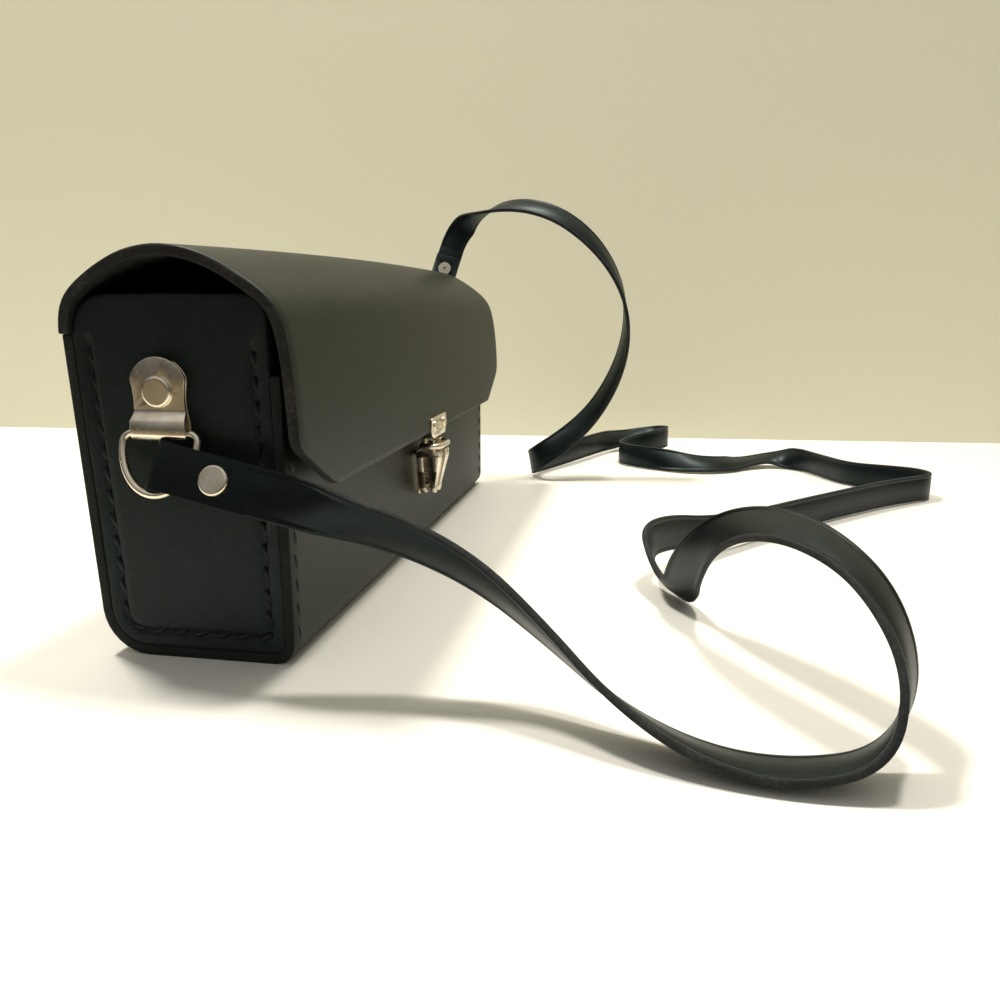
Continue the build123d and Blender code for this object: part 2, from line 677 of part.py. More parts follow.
def ring_clip(side):
    """Plate folded round the bar of the D-ring, both leaves under one rivet."""
    bar_z = -CLIP_BAR_DROP
    front = BAR_X + FOLD_INNER
    step_low = bar_z + CLIP_STEP_START
    step_high = bar_z + CLIP_STEP_END
    profile = [
        ThreePointArc((BAR_X - FOLD_OUTER, bar_z), (BAR_X, bar_z - FOLD_OUTER), (BAR_X + FOLD_OUTER, bar_z)),
        Line((front + CLIP_SHEET, bar_z), (front + CLIP_SHEET, step_low)),
        Line((front + CLIP_SHEET, step_low), (LEAF_X + CLIP_SHEET, step_high)),
        Line((LEAF_X + CLIP_SHEET, step_high), (LEAF_X + CLIP_SHEET, CLIP_TOP)),
        Line((LEAF_X + CLIP_SHEET, CLIP_TOP), (LEAF_X, CLIP_TOP)),
        Line((LEAF_X, CLIP_TOP), (LEAF_X, step_high - 0.4)),
        Line((LEAF_X, step_high - 0.4), (front, step_low - 0.4)),
        Line((front, step_low - 0.4), (front, bar_z)),
        ThreePointArc((front, bar_z), (BAR_X, bar_z - FOLD_INNER), (BAR_X - FOLD_INNER, bar_z)),
        Line((BAR_X - FOLD_INNER, bar_z), (CLIP_SHEET, CLIP_TOP - 1.2)),
        Line((CLIP_SHEET, CLIP_TOP - 1.2), (0, CLIP_TOP - 1.2)),
        Line((0, CLIP_TOP - 1.2), (BAR_X - FOLD_OUTER, bar_z)),
    ]
    strip = extrude(Plane.XZ * make_face(profile), CLIP_WIDTH, both=True)
    neck_z = step_high + 1.6
    outline = make_face([
        Line((-CLIP_WIDTH / 2, bar_z - FOLD_OUTER - 1), (-CLIP_WIDTH / 2, step_low)),
        Spline((-CLIP_WIDTH / 2, step_low), (-CLIP_NECK / 2, neck_z), (-CLIP_WIDTH / 2, 3.2)),
        ThreePointArc((-CLIP_WIDTH / 2, 3.2), (0, CLIP_TOP), (CLIP_WIDTH / 2, 3.2)),
        Spline((CLIP_WIDTH / 2, 3.2), (CLIP_NECK / 2, neck_z), (CLIP_WIDTH / 2, step_low)),
        Line((CLIP_WIDTH / 2, step_low), (CLIP_WIDTH / 2, bar_z - FOLD_OUTER - 1)),
        Line((CLIP_WIDTH / 2, bar_z - FOLD_OUTER - 1), (-CLIP_WIDTH / 2, bar_z - FOLD_OUTER - 1)),
    ])
    strip &= extrude(Plane.YZ * outline, 12, both=True)
    strip -= rod((-1, 0, 0), (8, 0, 0), CLIP_RIVET_STEM + 2 * HOLE_CLEARANCE)
    return clip_place(side) * strip


def clip_rivet(side):
    """Rivet with a wide low cap outside and a clenched end inside."""
    seat = LEAF_X + CLIP_SHEET
    cap = Pos(seat + 0.65, 0, 0) * Rot(0, 90, 0) * Cylinder(CLIP_RIVET_CAP / 2, 1.3)
    cap = fillet(cap.edges().sort_by(Axis.X)[-1], 0.8)
    end = -LEATHER - WASHER_THICKNESS
    rivet = cap + rod((seat, 0, 0), (end, 0, 0), CLIP_RIVET_STEM)
    rivet += rod((end, 0, 0), (end - 0.7, 0, 0), CLIP_RIVET_STEM + 2.4)
    return clip_place(side) * rivet


def clip_washer(side):
    """Washer inside the end panel, under the clenched end of the rivet."""
    washer = rod((-LEATHER, 0, 0), (-LEATHER - WASHER_THICKNESS, 0, 0), WASHER_DIAMETER)
    washer -= rod((-LEATHER + 1, 0, 0), (-LEATHER - WASHER_THICKNESS - 1, 0, 0),
                  CLIP_RIVET_STEM + 2 * HOLE_CLEARANCE)
    return clip_place(side) * washer


def ring_place(side):
    """Place of a D-ring: bar along local Y, bow towards local -Z, face along local X."""
    tilt = LEFT_RING_TILT if side < 0 else RIGHT_RING_TILT
    return clip_place(side) * Location((BAR_X, 0, -CLIP_BAR_DROP), (0, -tilt, 0))


def d_ring(side):
    """D-ring of round wire: a straight bar and an oval bow."""
    corner = D_SHOULDER
    straight = D_HALF_WIDTH - corner
    bar = rod((0, -straight, 0), (0, straight, 0), D_WIRE)
    bow = Wire([
        ThreePointArc((straight, 0), (straight + corner * math.sin(math.pi / 4),
                      -corner * (1 - math.cos(math.pi / 4))), (D_HALF_WIDTH, -corner)),
        EllipticalCenterArc((0, -corner), D_HALF_WIDTH, D_DEPTH - corner, 0, arc_size=-180),
        ThreePointArc((-D_HALF_WIDTH, -corner), (-straight - corner * math.sin(math.pi / 4),
                      -corner * (1 - math.cos(math.pi / 4))), (-straight, 0)),
    ])
    bow = Plane.YZ * bow
    ring = sweep(Plane(origin=(0, straight, 0), z_dir=(0, 1, 0)) * Circle(D_WIRE / 2), path=bow)
    return ring_place(side) * (ring + bar)


def strap_place(side):
    """Place of a strap end: local X along the strap, local Y outwards, local Z across it."""
    if side < 0:
        fall = math.radians(LEFT_STRAP_FALL)
        along = Vector(0, math.cos(fall), -math.sin(fall))
        origin = Vector(0, CLIP_Y - LEFT_FOLD_Y, -LEFT_FOLD_DROP)
    else:
        along = Vector(0, 0, -1)
        origin = Vector(0, 0, -RIGHT_FOLD_DROP)
    across = along.cross(Vector(1, 0, 0))
    return ring_place(side) * Plane(origin=origin, x_dir=along, z_dir=across).location


LAYER_INNER = D_WIRE / 2 + D_FIT
LAYER_OUTER = LAYER_INNER + STRAP_END_THICKNESS
RUN_Y = LAYER_INNER + STRAP_END_THICKNESS / 2
TAIL_TOP = LAYER_INNER - 0.12
TAIL_BOTTOM = TAIL_TOP - STRAP_END_THICKNESS


def rivet_reach(side):
    """Distance of the strap's rivet from the fold round the D-ring."""
    return LEFT_RIVET_REACH if side < 0 else RIGHT_RIVET_REACH


def strap_end(side):
    """End of the strap, folded round the D-ring and laid back on itself."""
    rivet = rivet_reach(side)
    tail = rivet + TAIL_PAST_RIVET
    reach = tail + 12
    bend_start = rivet - TAIL_BEND_START
    bend_end = rivet - TAIL_BEND_END
    face = make_face([
        Line((reach, LAYER_OUTER), (0, LAYER_OUTER)),
        ThreePointArc((0, LAYER_OUTER), (-LAYER_OUTER, 0), (0, -LAYER_OUTER)),
        Polyline((0, -LAYER_OUTER), (bend_start, -LAYER_OUTER), (bend_end, TAIL_BOTTOM),
                 (tail, TAIL_BOTTOM), (tail, TAIL_TOP), (bend_end - 0.4, TAIL_TOP),
                 (bend_start - 0.4, -LAYER_INNER), (0, -LAYER_INNER)),
        ThreePointArc((0, -LAYER_INNER), (-LAYER_INNER, 0), (0, LAYER_INNER)),
        Polyline((0, LAYER_INNER), (reach, LAYER_INNER), (reach, LAYER_OUTER)),
    ])
    piece = extrude(face, STRAP_WIDTH / 2, both=True)
    piece -= rod((rivet, -5, 0), (rivet, 5, 0), CLIP_RIVET_STEM + 2 * HOLE_CLEARANCE)
    piece = strap_place(side) * piece
    if side < 0:
        cut = STRAP_CUT_Y + BODY_GAP / 2
        return piece - box_between(-200, 0, cut - 60, cut, -20, 120)
    keeper = ring_place(side) * (Rot(90, 0, 0) * Cylinder(RIGHT_CUT_REACH - BODY_GAP / 2, 60))
    return piece & keeper


def strap_rivet(side):
    """Rivet through both layers of the strap end, with an open ring behind."""
    cap = between_y(Circle(STRAP_RIVET_CAP / 2), LAYER_OUTER, LAYER_OUTER + 1.2)
    cap = fillet(cap.edges().sort_by(Axis.Y)[-1], 0.8)
    stem = rod((0, LAYER_OUTER, 0), (0, TAIL_BOTTOM - 0.7, 0), CLIP_RIVET_STEM)
    ring = rod((0, TAIL_BOTTOM, 0), (0, TAIL_BOTTOM - 0.7, 0), STRAP_RIVET_RING)
    rivet = cap + stem + ring - rod((0, TAIL_BOTTOM - 1, 0), (0, TAIL_BOTTOM + 0.6, 0), 1.8)
    return strap_place(side) * (Pos(rivet_reach(side), 0, 0) * rivet)


def rounded_sections(points, widths):
    """Places along straight runs joined by tangent arcs: position, heading and width."""
    places = [Vector(*point) for point in points]
    across = [Vector(*width).normalized() for width in widths]
    last = len(places) - 1
    stations = [(places[0], (places[1] - places[0]).normalized(), 0.0)]
    radii = []
    for index in range(1, last):
        before = places[index] - places[index - 1]
        after = places[index + 1] - places[index]
        turn = math.radians(before.get_angle(after))
        reach = RUN_SHARE * min(before.length, after.length)
        radius = reach / math.tan(turn / 2)
        radii.append(round(radius, 1))
        heading = before.normalized()
        inward = (after.normalized() - heading * math.cos(turn)).normalized()
        start = places[index] - heading * reach
        steps = max(1, round(math.degrees(turn) / ARC_STEP))
        for step in range(steps + 1):
            angle = turn * step / steps
            place = start + heading * (radius * math.sin(angle)) + inward * (radius * (1 - math.cos(angle)))
            pointing = heading * math.cos(angle) + inward * math.sin(angle)
            stations.append((place, pointing, index + RUN_SHARE * (2 * step / steps - 1)))
    stations.append((places[last], (places[last] - places[last - 1]).normalized(), float(last)))
    sections = []
    for place, heading, share in stations:
        index = min(int(share), last - 1)
        part = share - index
        width = across[index] * (1 - part) + across[index + 1] * part
        width = (width - heading * width.dot(heading)).normalized()
        sections.append((place, heading, width))
    return sections, radii


def strap_run(name, points, widths):
    """Free run of the strap: a flat section carried along its route."""
    sections, radii = rounded_sections(points, widths)
    faces = []
    length = 0
    for index, (place, heading, width) in enumerate(sections):
        plane = Plane(origin=place, x_dir=width, z_dir=heading)
        faces.append(plane * Rectangle(STRAP_WIDTH, STRAP_THICKNESS))
        if index:
            length += (place - sections[index - 1][0]).length
    run = loft(faces, ruled=True)
    lowest = run.bounding_box().min.Z
    print(f"{name}: length {length:.0f}, smallest radius {min(radii)}, lowest point {lowest:.2f}")
    print(f"{name}: volume share {run.volume / (length * STRAP_WIDTH * STRAP_THICKNESS):.3f}")
    return run


def run_start(side):
    """Point, heading and width of the strap where it leaves a strap end."""
    place = strap_place(side)
    frame = Plane(place)
    heading = frame.x_dir
    across = frame.z_dir
    origin = frame.origin + across.cross(heading) * RUN_Y
    if side < 0:
        reach = (STRAP_CUT_Y - origin.Y) / heading.Y - 2
    else:
        reach = RIGHT_CUT_REACH + BODY_GAP / 2 - RIGHT_FOLD_DROP
    return origin + heading * reach, heading, across


def left_run():
    """Strap from the left ring to the middle of the long run."""
    start, heading, across = run_start(-1)
    if across.Z > 0:
        across = across * -1
    first = start + heading * 13
    points = [tuple(start), tuple(first)] + LEFT_ROUTE
    widths = [tuple(across), tuple(across)] + LEFT_WIDTHS
    run = strap_run("strap_run_left", points, widths)
    cut = STRAP_CUT_Y - BODY_GAP / 2
    return run - box_between(-200, 0, cut, cut + 60, 0, 120)


def right_run():
    """Strap from the middle of the long run to the right ring."""
    start, heading, across = run_start(1)
    if across.Y > 0:
        across = across * -1
    first = start + heading * 9
    points = RIGHT_ROUTE + [tuple(first), tuple(start)]
    widths = RIGHT_WIDTHS + [tuple(across), tuple(across)]
    return strap_run("strap_run_right", points, widths)


save(wrap(), "case_wrap")
save(end_panel(-1), "end_panel_left")
save(end_panel(1), "end_panel_right")
save(lid(), "lid")
save(hasp(), "hasp")
save(hasp_rivets(), "hasp_rivets")
save(latch_base(), "latch_base")
save(base_rivets(), "latch_base_rivets")
save(latch_backing(), "latch_backing_plate")
lever = right_lever()
save(lever, "latch_lever_right")
save(mirror(lever, Plane.YZ), "latch_lever_left")
save(latch_pins(), "latch_pins")
save(latch_spring(), "latch_spring")
for side, end in ((-1, "left"), (1, "right")):
    save(ring_clip(side), f"ring_clip_{end}")
    save(clip_rivet(side), f"clip_rivet_{end}")
    save(clip_washer(side), f"clip_washer_{end}")
    save(d_ring(side), f"d_ring_{end}")
    save(strap_end(side), f"strap_end_{end}")
    save(strap_rivet(side), f"strap_rivet_{end}")
save(left_run(), "strap_run_left")
save(right_run(), "strap_run_right")
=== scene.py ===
import math

import bmesh
import bpy
from mathutils import Matrix, Vector, noise


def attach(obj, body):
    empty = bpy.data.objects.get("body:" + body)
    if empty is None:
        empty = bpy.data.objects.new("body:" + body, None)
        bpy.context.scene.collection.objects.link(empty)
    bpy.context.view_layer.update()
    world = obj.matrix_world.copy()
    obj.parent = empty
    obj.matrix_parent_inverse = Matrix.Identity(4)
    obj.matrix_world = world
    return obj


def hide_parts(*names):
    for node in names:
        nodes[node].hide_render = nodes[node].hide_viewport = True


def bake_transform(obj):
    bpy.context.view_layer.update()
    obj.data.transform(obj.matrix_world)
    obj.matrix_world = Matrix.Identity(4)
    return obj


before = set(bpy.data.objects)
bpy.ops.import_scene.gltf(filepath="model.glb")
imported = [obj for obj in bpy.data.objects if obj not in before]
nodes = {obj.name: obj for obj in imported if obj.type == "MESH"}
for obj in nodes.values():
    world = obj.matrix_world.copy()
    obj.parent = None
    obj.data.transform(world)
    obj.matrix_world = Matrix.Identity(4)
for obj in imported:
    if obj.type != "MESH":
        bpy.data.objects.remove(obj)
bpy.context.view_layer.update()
mm = 0.001

camera = {
    "place": (-322.86, -118.25, 93.32),  # mm, from the case's origin on the table
    "yaw": 10.295,  # degrees, from +X towards +Y
    "pitch": 12.74,
    "lens": 31.13,
    "sensor": 36,
    "clipStart": 0.01,
}

studio = {
    "floorColour": "#e6e4dc",
    "wallColour": "#e4e1c9",
    "roomColour": "#6e624c",
    "tableEdge": -262.0,  # mm, where the white table ends behind the camera's view
    "wallLeft": (268.0, 380.0),  # mm, two points where the wall meets the table
    "wallRight": (318.0, -346.0),
    "reach": 4000,  # half the size of the floor
    "wallHeight": 2500,
    "groundDrop": 0.1,
    "ceiling": 0.6,  # strength of the room's light from above
    "room": 0.05,  # and from the sides
    "skyFrom": -0.1,  # Z of the way the light comes in, where the light from above starts to grow
    "skyTo": -0.9,  # and where it is full
    "skyTint": (1, 0.98, 0.93, 1),
    "lampTint": (1.0, 0.965, 0.90),
    "lampAim": (0, -50, 30),
    "lamps": [
        {"place": (120, 420, 1250), "size": 160, "power": 15.0},
        {"place": (160, -250, 1350), "size": 160, "power": 11.0},
    ],
}

caseShape = {
    "length": 245.0,
    "leather": 2.8,
    "frontY": -27.0,
    "backFootY": 27.6,
    "backTopY": 31.6,
    "frontHeight": 76.0,
    "backHeight": 86.0,
    "panelHeight": 96.0,
    "frontFootRadius": 6.0,
    "backFootRadius": 13.0,
    "panelFrontRadius": 6.0,
    "panelBackRadius": 10.0,
    "stations": 41,
    "edgeRound": 0.45,
}

panelShape = {
    "insets": [0.0, 0.35, 0.9, 1.6, 2.4, 3.1, 3.7, 4.2, 4.7, 5.3, 6.2, 7.5, 9.5, 12.5],
    "sidePoints": 40,
    "cornerSteps": 8,
    "leastRadius": 1.6,
    "edgeDrop": 0.35,  # worn edge
    "edgeReach": 0.9,
    "sewnBelow": 84.0,
    "sewnWithin": 7.0,
    "grooveHalfWidth": 0.9,
    "lipDip": 0.6,  # between the stitches and the edge
    "waviness": 0.25,
}

hingeFold = {  # the skin where the lid folds over the back wall
    "radius": 0.75,
    "y": 30.8,
    "z": 86.02,
    "sides": 14,
    "endGap": 0.6,
}

lidShape = {
    "crown": 107.9,
    "crownRise": 3.4,
    "crownPeakX": 60.0,
    "crownSpan": 194.0,
    "flapY": -34.9,
    "flapBottom": 46.3,
    "backOverhang": 1.5,
    "leftOverhang": 8.8,
    "rightOverhang": 5.0,
    "cornerHeight": 15.0,
    "cornerLength": 25.0,
    "cornerCut": [(0.0, 1.0), (0.1, 0.85), (0.8, 0.1), (1.0, 0.0)],  # shares of the height and length
    "riser": [(0.0, 0.02), (0.0, 4.4), (1.6, 9.0)],  # in from the back wall, above its top
    "backDome": [(6.2, 9.0), (16.6, 3.0)],  # in from the back wall, below the crown
    "midDome": [(3.7, 0.0), (-10.6, 2.6)],  # back from the middle, below the crown
    "frontDome": [(11.0, 9.2), (5.3, 12.9)],  # back from the flap, below the crown
    "flapBend": [(2.6, 18.0), (0.7, 31.0), (0.0, 44.0)],
    "steps": [2, 3, 4, 5, 6, 6, 6, 4, 4, 5, 5, 9],  # points between one of these places and the next
    "stations": 56,
    "softening": 12,
    "wobble": 0.5,
    "edgeRound": 0.5,
}

stitches = {
    "pitch": 6.0,
    "length": 4.9,
    "width": 1.7,
    "height": 1.1,
    "lean": 20.0,  # degrees off the line of the row
    "inset": 4.2,
    "groove": 0.75,  # depth to which the thread draws the leather in
    "pucker": 0.7,
    "panelTop": 82.0,
    "panelSink": 0.75,
    "wallInset": 4.0,
    "wallSink": 0.1,
    "frontSpan": (73, 8),
    "backSpan": (80, 15),
}

strap = {
    "width": 12.5,
    "thickness": 1.8,
    "endThickness": 1.3,
    "thinned": 18.0,  # length over which the run is pared down to the end piece
    "crease": 1.5,  # from the edge to the creased line
    "creaseDepth": 0.2,
    "creaseHalfWidth": 0.35,
    "softEdge": 0.3,
    "leanReach": 6,  # from the middle line to the line that gives the way across
    "resolution": 10,
    "leftBend": ((-132.0, -79.0, 31.0), (-131.0, -36.0, 47.0)),
    "rightBend": ((149.0, -100.5, 72.0), (141.0, -30.0, 141.0)),
    "leftAcross": (-0.3345, 0.2079, -0.9192),
    "rightAcross": (0.0, -0.9613, -0.2756),
    "leftLength": 0.465,
    "rightLength": 0.718,
}

leverPad = {  # the sunk pad on the outer side of each lever, where darker nickel paints the recess's shade
    "front": -35.2,
    "back": -31.1,
    "foot": 27.0,
    "top": 36.7,
}

leftRoute = [  # place in mm, then the way across the strap
    ((-130.63, -20.35, 49.20), (-0.335, 0.208, -0.919)),
    ((-131.4, -31.3, 47.0), (-0.335, 0.208, -0.919)),
    ((-132.6, -46.0, 43.6), (0.40, 0.25, -0.88)),
    ((-131.0, -62.0, 38.8), (0.50, 0.20, -0.84)),
    ((-132.0, -79.0, 30.8), (0.62, 0.15, -0.77)),
    ((-139.0, -95.5, 20.2), (0.74, 0.00, -0.67)),
    ((-149.0, -112.0, 9.4), (0.88, -0.08, -0.47)),
    ((-156.5, -130.0, 3.0), (0.96, -0.15, -0.22)),
    ((-159.5, -148.0, 1.9), (1.00, -0.05, -0.06)),
    ((-157.0, -165.5, 6.0), (0.95, -0.05, -0.25)),
    ((-150.0, -171.3, 20.5), (0.74, -0.40, -0.50)),
    ((-135.0, -166.5, 34.6), (0.52, -0.80, -0.30)),
    ((-118.5, -156.0, 40.8), (0.50, -0.85, 0.15)),
    ((-101.0, -144.8, 39.6), (0.50, -0.65, 0.57)),
    ((-84.0, -135.0, 31.3), (0.55, -0.10, 0.80)),
    ((-70.5, -128.5, 17.5), (0.45, 0.60, 0.66)),
    ((-57.5, -127.5, 4.0), (0.10, 0.85, 0.45)),
    ((-44.5, -120.0, 7.4), (-0.20, 0.45, 0.86)),
    ((-31.0, -116.0, 13.8), (-0.20, 0.20, 0.95)),
    ((-15.0, -124.5, 13.5), (0.00, 0.10, 0.99)),
    ((4.0, -139.5, 8.8), (0.00, 0.10, 0.99)),
    ((28.0, -159.5, 6.9), (0.00, 0.05, 1.00)),
    ((52.0, -180.5, 6.9), (0.00, 0.00, 1.00)),
    ((75.0, -202.0, 6.9), (0.00, 0.00, 1.00)),
]

rightRoute = [
    ((75.0, -202.0, 6.9), (0.00, 0.00, 1.00)),
    ((93.4, -219.2, 6.9), (0.00, 0.00, 1.00)),
    ((109.0, -236.5, 6.8), (0.00, 0.00, 1.00)),
    ((121.0, -252.5, 6.8), (0.00, 0.00, 1.00)),
    ((135.5, -249.5, 6.8), (0.00, 0.00, 1.00)),
    ((141.5, -235.0, 6.8), (0.00, 0.00, 1.00)),
    ((147.0, -219.0, 6.7), (0.00, 0.10, 0.99)),
    ((168.0, -209.0, 6.8), (0.10, 0.20, 0.97)),
    ((189.0, -200.5, 6.8), (0.60, 0.40, 0.70)),
    ((201.0, -186.0, 5.4), (0.90, 0.30, 0.25)),
    ((192.0, -169.0, 3.7), (1.00, 0.00, 0.12)),
    ((176.0, -156.0, 4.8), (0.92, 0.00, 0.40)),
    ((171.5, -138.0, 5.4), (0.78, 0.00, 0.62)),
    ((177.0, -120.0, 6.6), (0.35, 0.00, 0.93)),
    ((184.5, -103.0, 6.9), (0.00, 0.00, 1.00)),
    ((199.0, -95.5, 7.0), (0.00, 0.00, 1.00)),
    ((213.5, -104.0, 8.2), (0.00, 0.00, 1.00)),
    ((224.0, -119.0, 10.4), (0.00, 0.10, 0.99)),
    ((240.0, -127.5, 11.0), (0.20, 0.00, 0.98)),
    ((253.0, -116.0, 9.6), (0.60, 0.00, 0.80)),
    ((249.0, -98.0, 8.0), (0.80, 0.30, 0.50)),
    ((232.0, -85.5, 7.6), (0.40, 0.20, 0.90)),
    ((207.0, -76.0, 7.8), (0.10, 0.10, 0.99)),
    ((181.0, -65.0, 7.2), (0.00, 0.10, 0.99)),
    ((160.0, -55.0, 6.8), (0.00, 0.10, 0.99)),
    ((144.0, -49.5, 7.6), (0.05, 0.15, 0.98)),
    ((134.5, -57.0, 13.5), (0.20, 0.40, 0.90)),
    ((139.5, -70.5, 22.5), (0.50, 0.50, 0.70)),
    ((145.5, -84.0, 35.5), (0.70, 0.46, 0.54)),
    ((148.5, -94.5, 53.0), (0.80, 0.48, 0.34)),
    ((150.0, -100.5, 72.5), (0.92, 0.36, 0.14)),
    ((149.0, -100.5, 93.0), (0.99, 0.08, 0.02)),
    ((147.5, -93.0, 112.0), (0.95, -0.25, 0.10)),
    ((145.5, -79.5, 128.5), (0.85, -0.40, 0.40)),
    ((143.5, -61.5, 140.5), (0.80, -0.30, 0.55)),
    ((142.0, -40.5, 144.5), (0.85, -0.10, 0.50)),
    ((140.5, -22.5, 139.0), (0.93, -0.30, 0.10)),
    ((138.5, -11.6, 129.9), (0.0, -0.961, -0.276)),
    ((136.25, -9.11, 121.20), (0.0, -0.961, -0.276)),
]


def hexToLinear(text):
    parts = [int(text[i:i + 2], 16) / 255 for i in (1, 3, 5)]
    return tuple(c / 12.92 if c <= 0.04045 else ((c + 0.055) / 1.055) ** 2.4 for c in parts) + (1.0,)


def addNode(tree, kind, inputs=None, **settings):
    node = tree.nodes.new(kind)
    for key, value in settings.items():
        setattr(node, key, value)
    for key, value in (inputs or {}).items():
        if isinstance(value, bpy.types.NodeSocket):
            tree.links.new(value, node.inputs[key])
        else:
            node.inputs[key].default_value = value
    return node


def newMaterial(name):
    material = bpy.data.materials.new(name)
    material.use_nodes = True
    tree = material.node_tree
    tree.nodes.clear()
    shader = addNode(tree, "ShaderNodeBsdfPrincipled")
    addNode(tree, "ShaderNodeOutputMaterial", {"Surface": shader.outputs[0]})
    place = addNode(tree, "ShaderNodeTexCoord").outputs["Object"]
    return material, tree, shader, place


def perMm(size):
    return 1.0 / (size * mm)  # texture scale that repeats about every size mm


def mixColours(tree, shader, value, span, first, second):
    # base colour that goes from the first to the second as the value crosses the span
    share = addNode(tree, "ShaderNodeMapRange", {"Value": value, "From Min": span[0], "From Max": span[1]})
    colour = addNode(tree, "ShaderNodeMix", {"Factor": share.outputs[0]}, data_type="RGBA")
    colour.inputs["A"].default_value = hexToLinear(first)
    colour.inputs["B"].default_value = hexToLinear(second)
    tree.links.new(colour.outputs["Result"], shader.inputs["Base Color"])


def raiseGrain(tree, shader, height, strength, depthMm):
    bump = addNode(tree, "ShaderNodeBump", {"Height": height, "Strength": strength, "Distance": depthMm * mm})
    tree.links.new(bump.outputs[0], shader.inputs["Normal"])


def leatherMaterial(name, dark, pale, roughness, grainMm, grainDepth, sheen=0.38, tint=(1, 1, 1)):
    # vegetable-tanned cowhide, dyed and rolled smooth: fine pores, soft cloudy colour, a low sheen
    material, tree, shader, place = newMaterial(name)
    cloud = addNode(tree, "ShaderNodeTexNoise", {
        "Vector": place, "Scale": perMm(26), "Detail": 5.0, "Roughness": 0.6})
    pores = addNode(tree, "ShaderNodeTexVoronoi", {"Vector": place, "Scale": perMm(grainMm)})
    fine = addNode(tree, "ShaderNodeTexNoise", {
        "Vector": place, "Scale": perMm(grainMm * 0.6), "Detail": 4.0})
    mixColours(tree, shader, cloud.outputs["Fac"], (0.35, 0.7), dark, pale)
    gloss = addNode(tree, "ShaderNodeMapRange", {
        "Value": fine.outputs["Fac"], "To Min": roughness - 0.05, "To Max": roughness + 0.07})
    tree.links.new(gloss.outputs[0], shader.inputs["Roughness"])
    height = addNode(tree, "ShaderNodeMath", {
        0: pores.outputs["Distance"], 1: fine.outputs["Fac"]}, operation="ADD")
    raiseGrain(tree, shader, height.outputs[0], 0.35, grainDepth)
    shader.inputs["Specular IOR Level"].default_value = sheen
    shader.inputs["Specular Tint"].default_value = (*tint, 1)
    return material


def rawEdgeMaterial(name, dark, pale):
    # cut edge of the hide: dry, fibrous and scuffed, grey-brown where the dye has worn off
    material, tree, shader, place = newMaterial(name)
    fibre = addNode(tree, "ShaderNodeTexNoise", {
        "Vector": place, "Scale": perMm(1.0), "Detail": 6.0, "Roughness": 0.7})
    patch = addNode(tree, "ShaderNodeTexNoise", {"Vector": place, "Scale": perMm(9), "Detail": 3.0})
    worn = addNode(tree, "ShaderNodeMath", {
        0: fibre.outputs["Fac"], 1: patch.outputs["Fac"]}, operation="MULTIPLY")
    mixColours(tree, shader, worn.outputs[0], (0.22, 0.42), dark, pale)
    shader.inputs["Roughness"].default_value = 0.85
    raiseGrain(tree, shader, fibre.outputs["Fac"], 0.8, 0.5)
    return material


def nickelMaterial(name, bright, dull, roughness):
    # nickel-plated steel: warm white metal, clouded by handling, softly rubbed
    material, tree, shader, place = newMaterial(name)
    cloud = addNode(tree, "ShaderNodeTexNoise", {
        "Vector": place, "Scale": perMm(6), "Detail": 4.0, "Roughness": 0.55})
    rubbed = addNode(tree, "ShaderNodeTexNoise", {"Vector": place, "Scale": perMm(1.2), "Detail": 3.0})
    mixColours(tree, shader, cloud.outputs["Fac"], (0.35, 0.7), bright, dull)
    shader.inputs["Metallic"].default_value = 1.0
    gloss = addNode(tree, "ShaderNodeMapRange", {
        "Value": rubbed.outputs["Fac"], "To Min": roughness - 0.04, "To Max": roughness + 0.08})
    tree.links.new(gloss.outputs[0], shader.inputs["Roughness"])
    raiseGrain(tree, shader, cloud.outputs["Fac"], 0.12, 0.3)
    return material


def plainMaterial(name, colour, roughness):
    # matt paint or cloth of one colour
    material, tree, shader, place = newMaterial(name)
    shader.inputs["Base Color"].default_value = hexToLinear(colour)
    shader.inputs["Roughness"].default_value = roughness
    return material


def wallMaterial(name, colour, roughness):
    # matt paint on the room's side of the wall, clear from behind so that a camera there sees the case
    material = plainMaterial(name, colour, roughness)
    tree = material.node_tree
    paint = tree.nodes["Principled BSDF"].outputs[0]
    clear = addNode(tree, "ShaderNodeBsdfTransparent").outputs[0]
    behind = addNode(tree, "ShaderNodeNewGeometry").outputs["Backfacing"]
    oneSided = addNode(tree, "ShaderNodeMixShader", {0: behind, 1: paint, 2: clear})
    tree.links.new(oneSided.outputs[0], tree.nodes["Material Output"].inputs["Surface"])
    return material


bodyLeather = leatherMaterial("bodyLeather", "#11140f", "#191c15", 0.46, 0.9, 0.08, 0.25, (0.93, 1, 0.93))
endLeather = leatherMaterial("endLeather", "#050b0a", "#0c1413", 0.5, 1.1, 0.12, 0.32, (0.82, 1, 0.98))
strapLeather = leatherMaterial("strapLeather", "#070c0d", "#0c1314", 0.38, 0.8, 0.05, 0.24, (0.8, 1, 0.98))
fleshLeather = leatherMaterial("fleshLeather", "#0d0f0e", "#171a18", 0.8, 1.0, 0.20)
rawEdge = rawEdgeMaterial("rawEdge", "#070a09", "#161917")
lidEdgeLeather = rawEdgeMaterial("lidEdgeLeather", "#0a0b09", "#37322c")
strapEdge = rawEdgeMaterial("strapEdge", "#101314", "#2c3030")
waxedThread = leatherMaterial("waxedThread", "#060a09", "#0e1413", 0.45, 0.5, 0.10, 0.28, (0.85, 1, 0.98))
nickelPlate = nickelMaterial("nickelPlate", "#faf1df", "#e2d6c0", 0.23)
# darker nickel for the levers' sunk pads: painted shade of the recess
padShadeNickel = nickelMaterial("padShadeNickel", "#6d6658", "#4c473d", 0.34)
springSteel = nickelMaterial("springSteel", "#9b9a97", "#6f6c66", 0.35)
print("materials made")


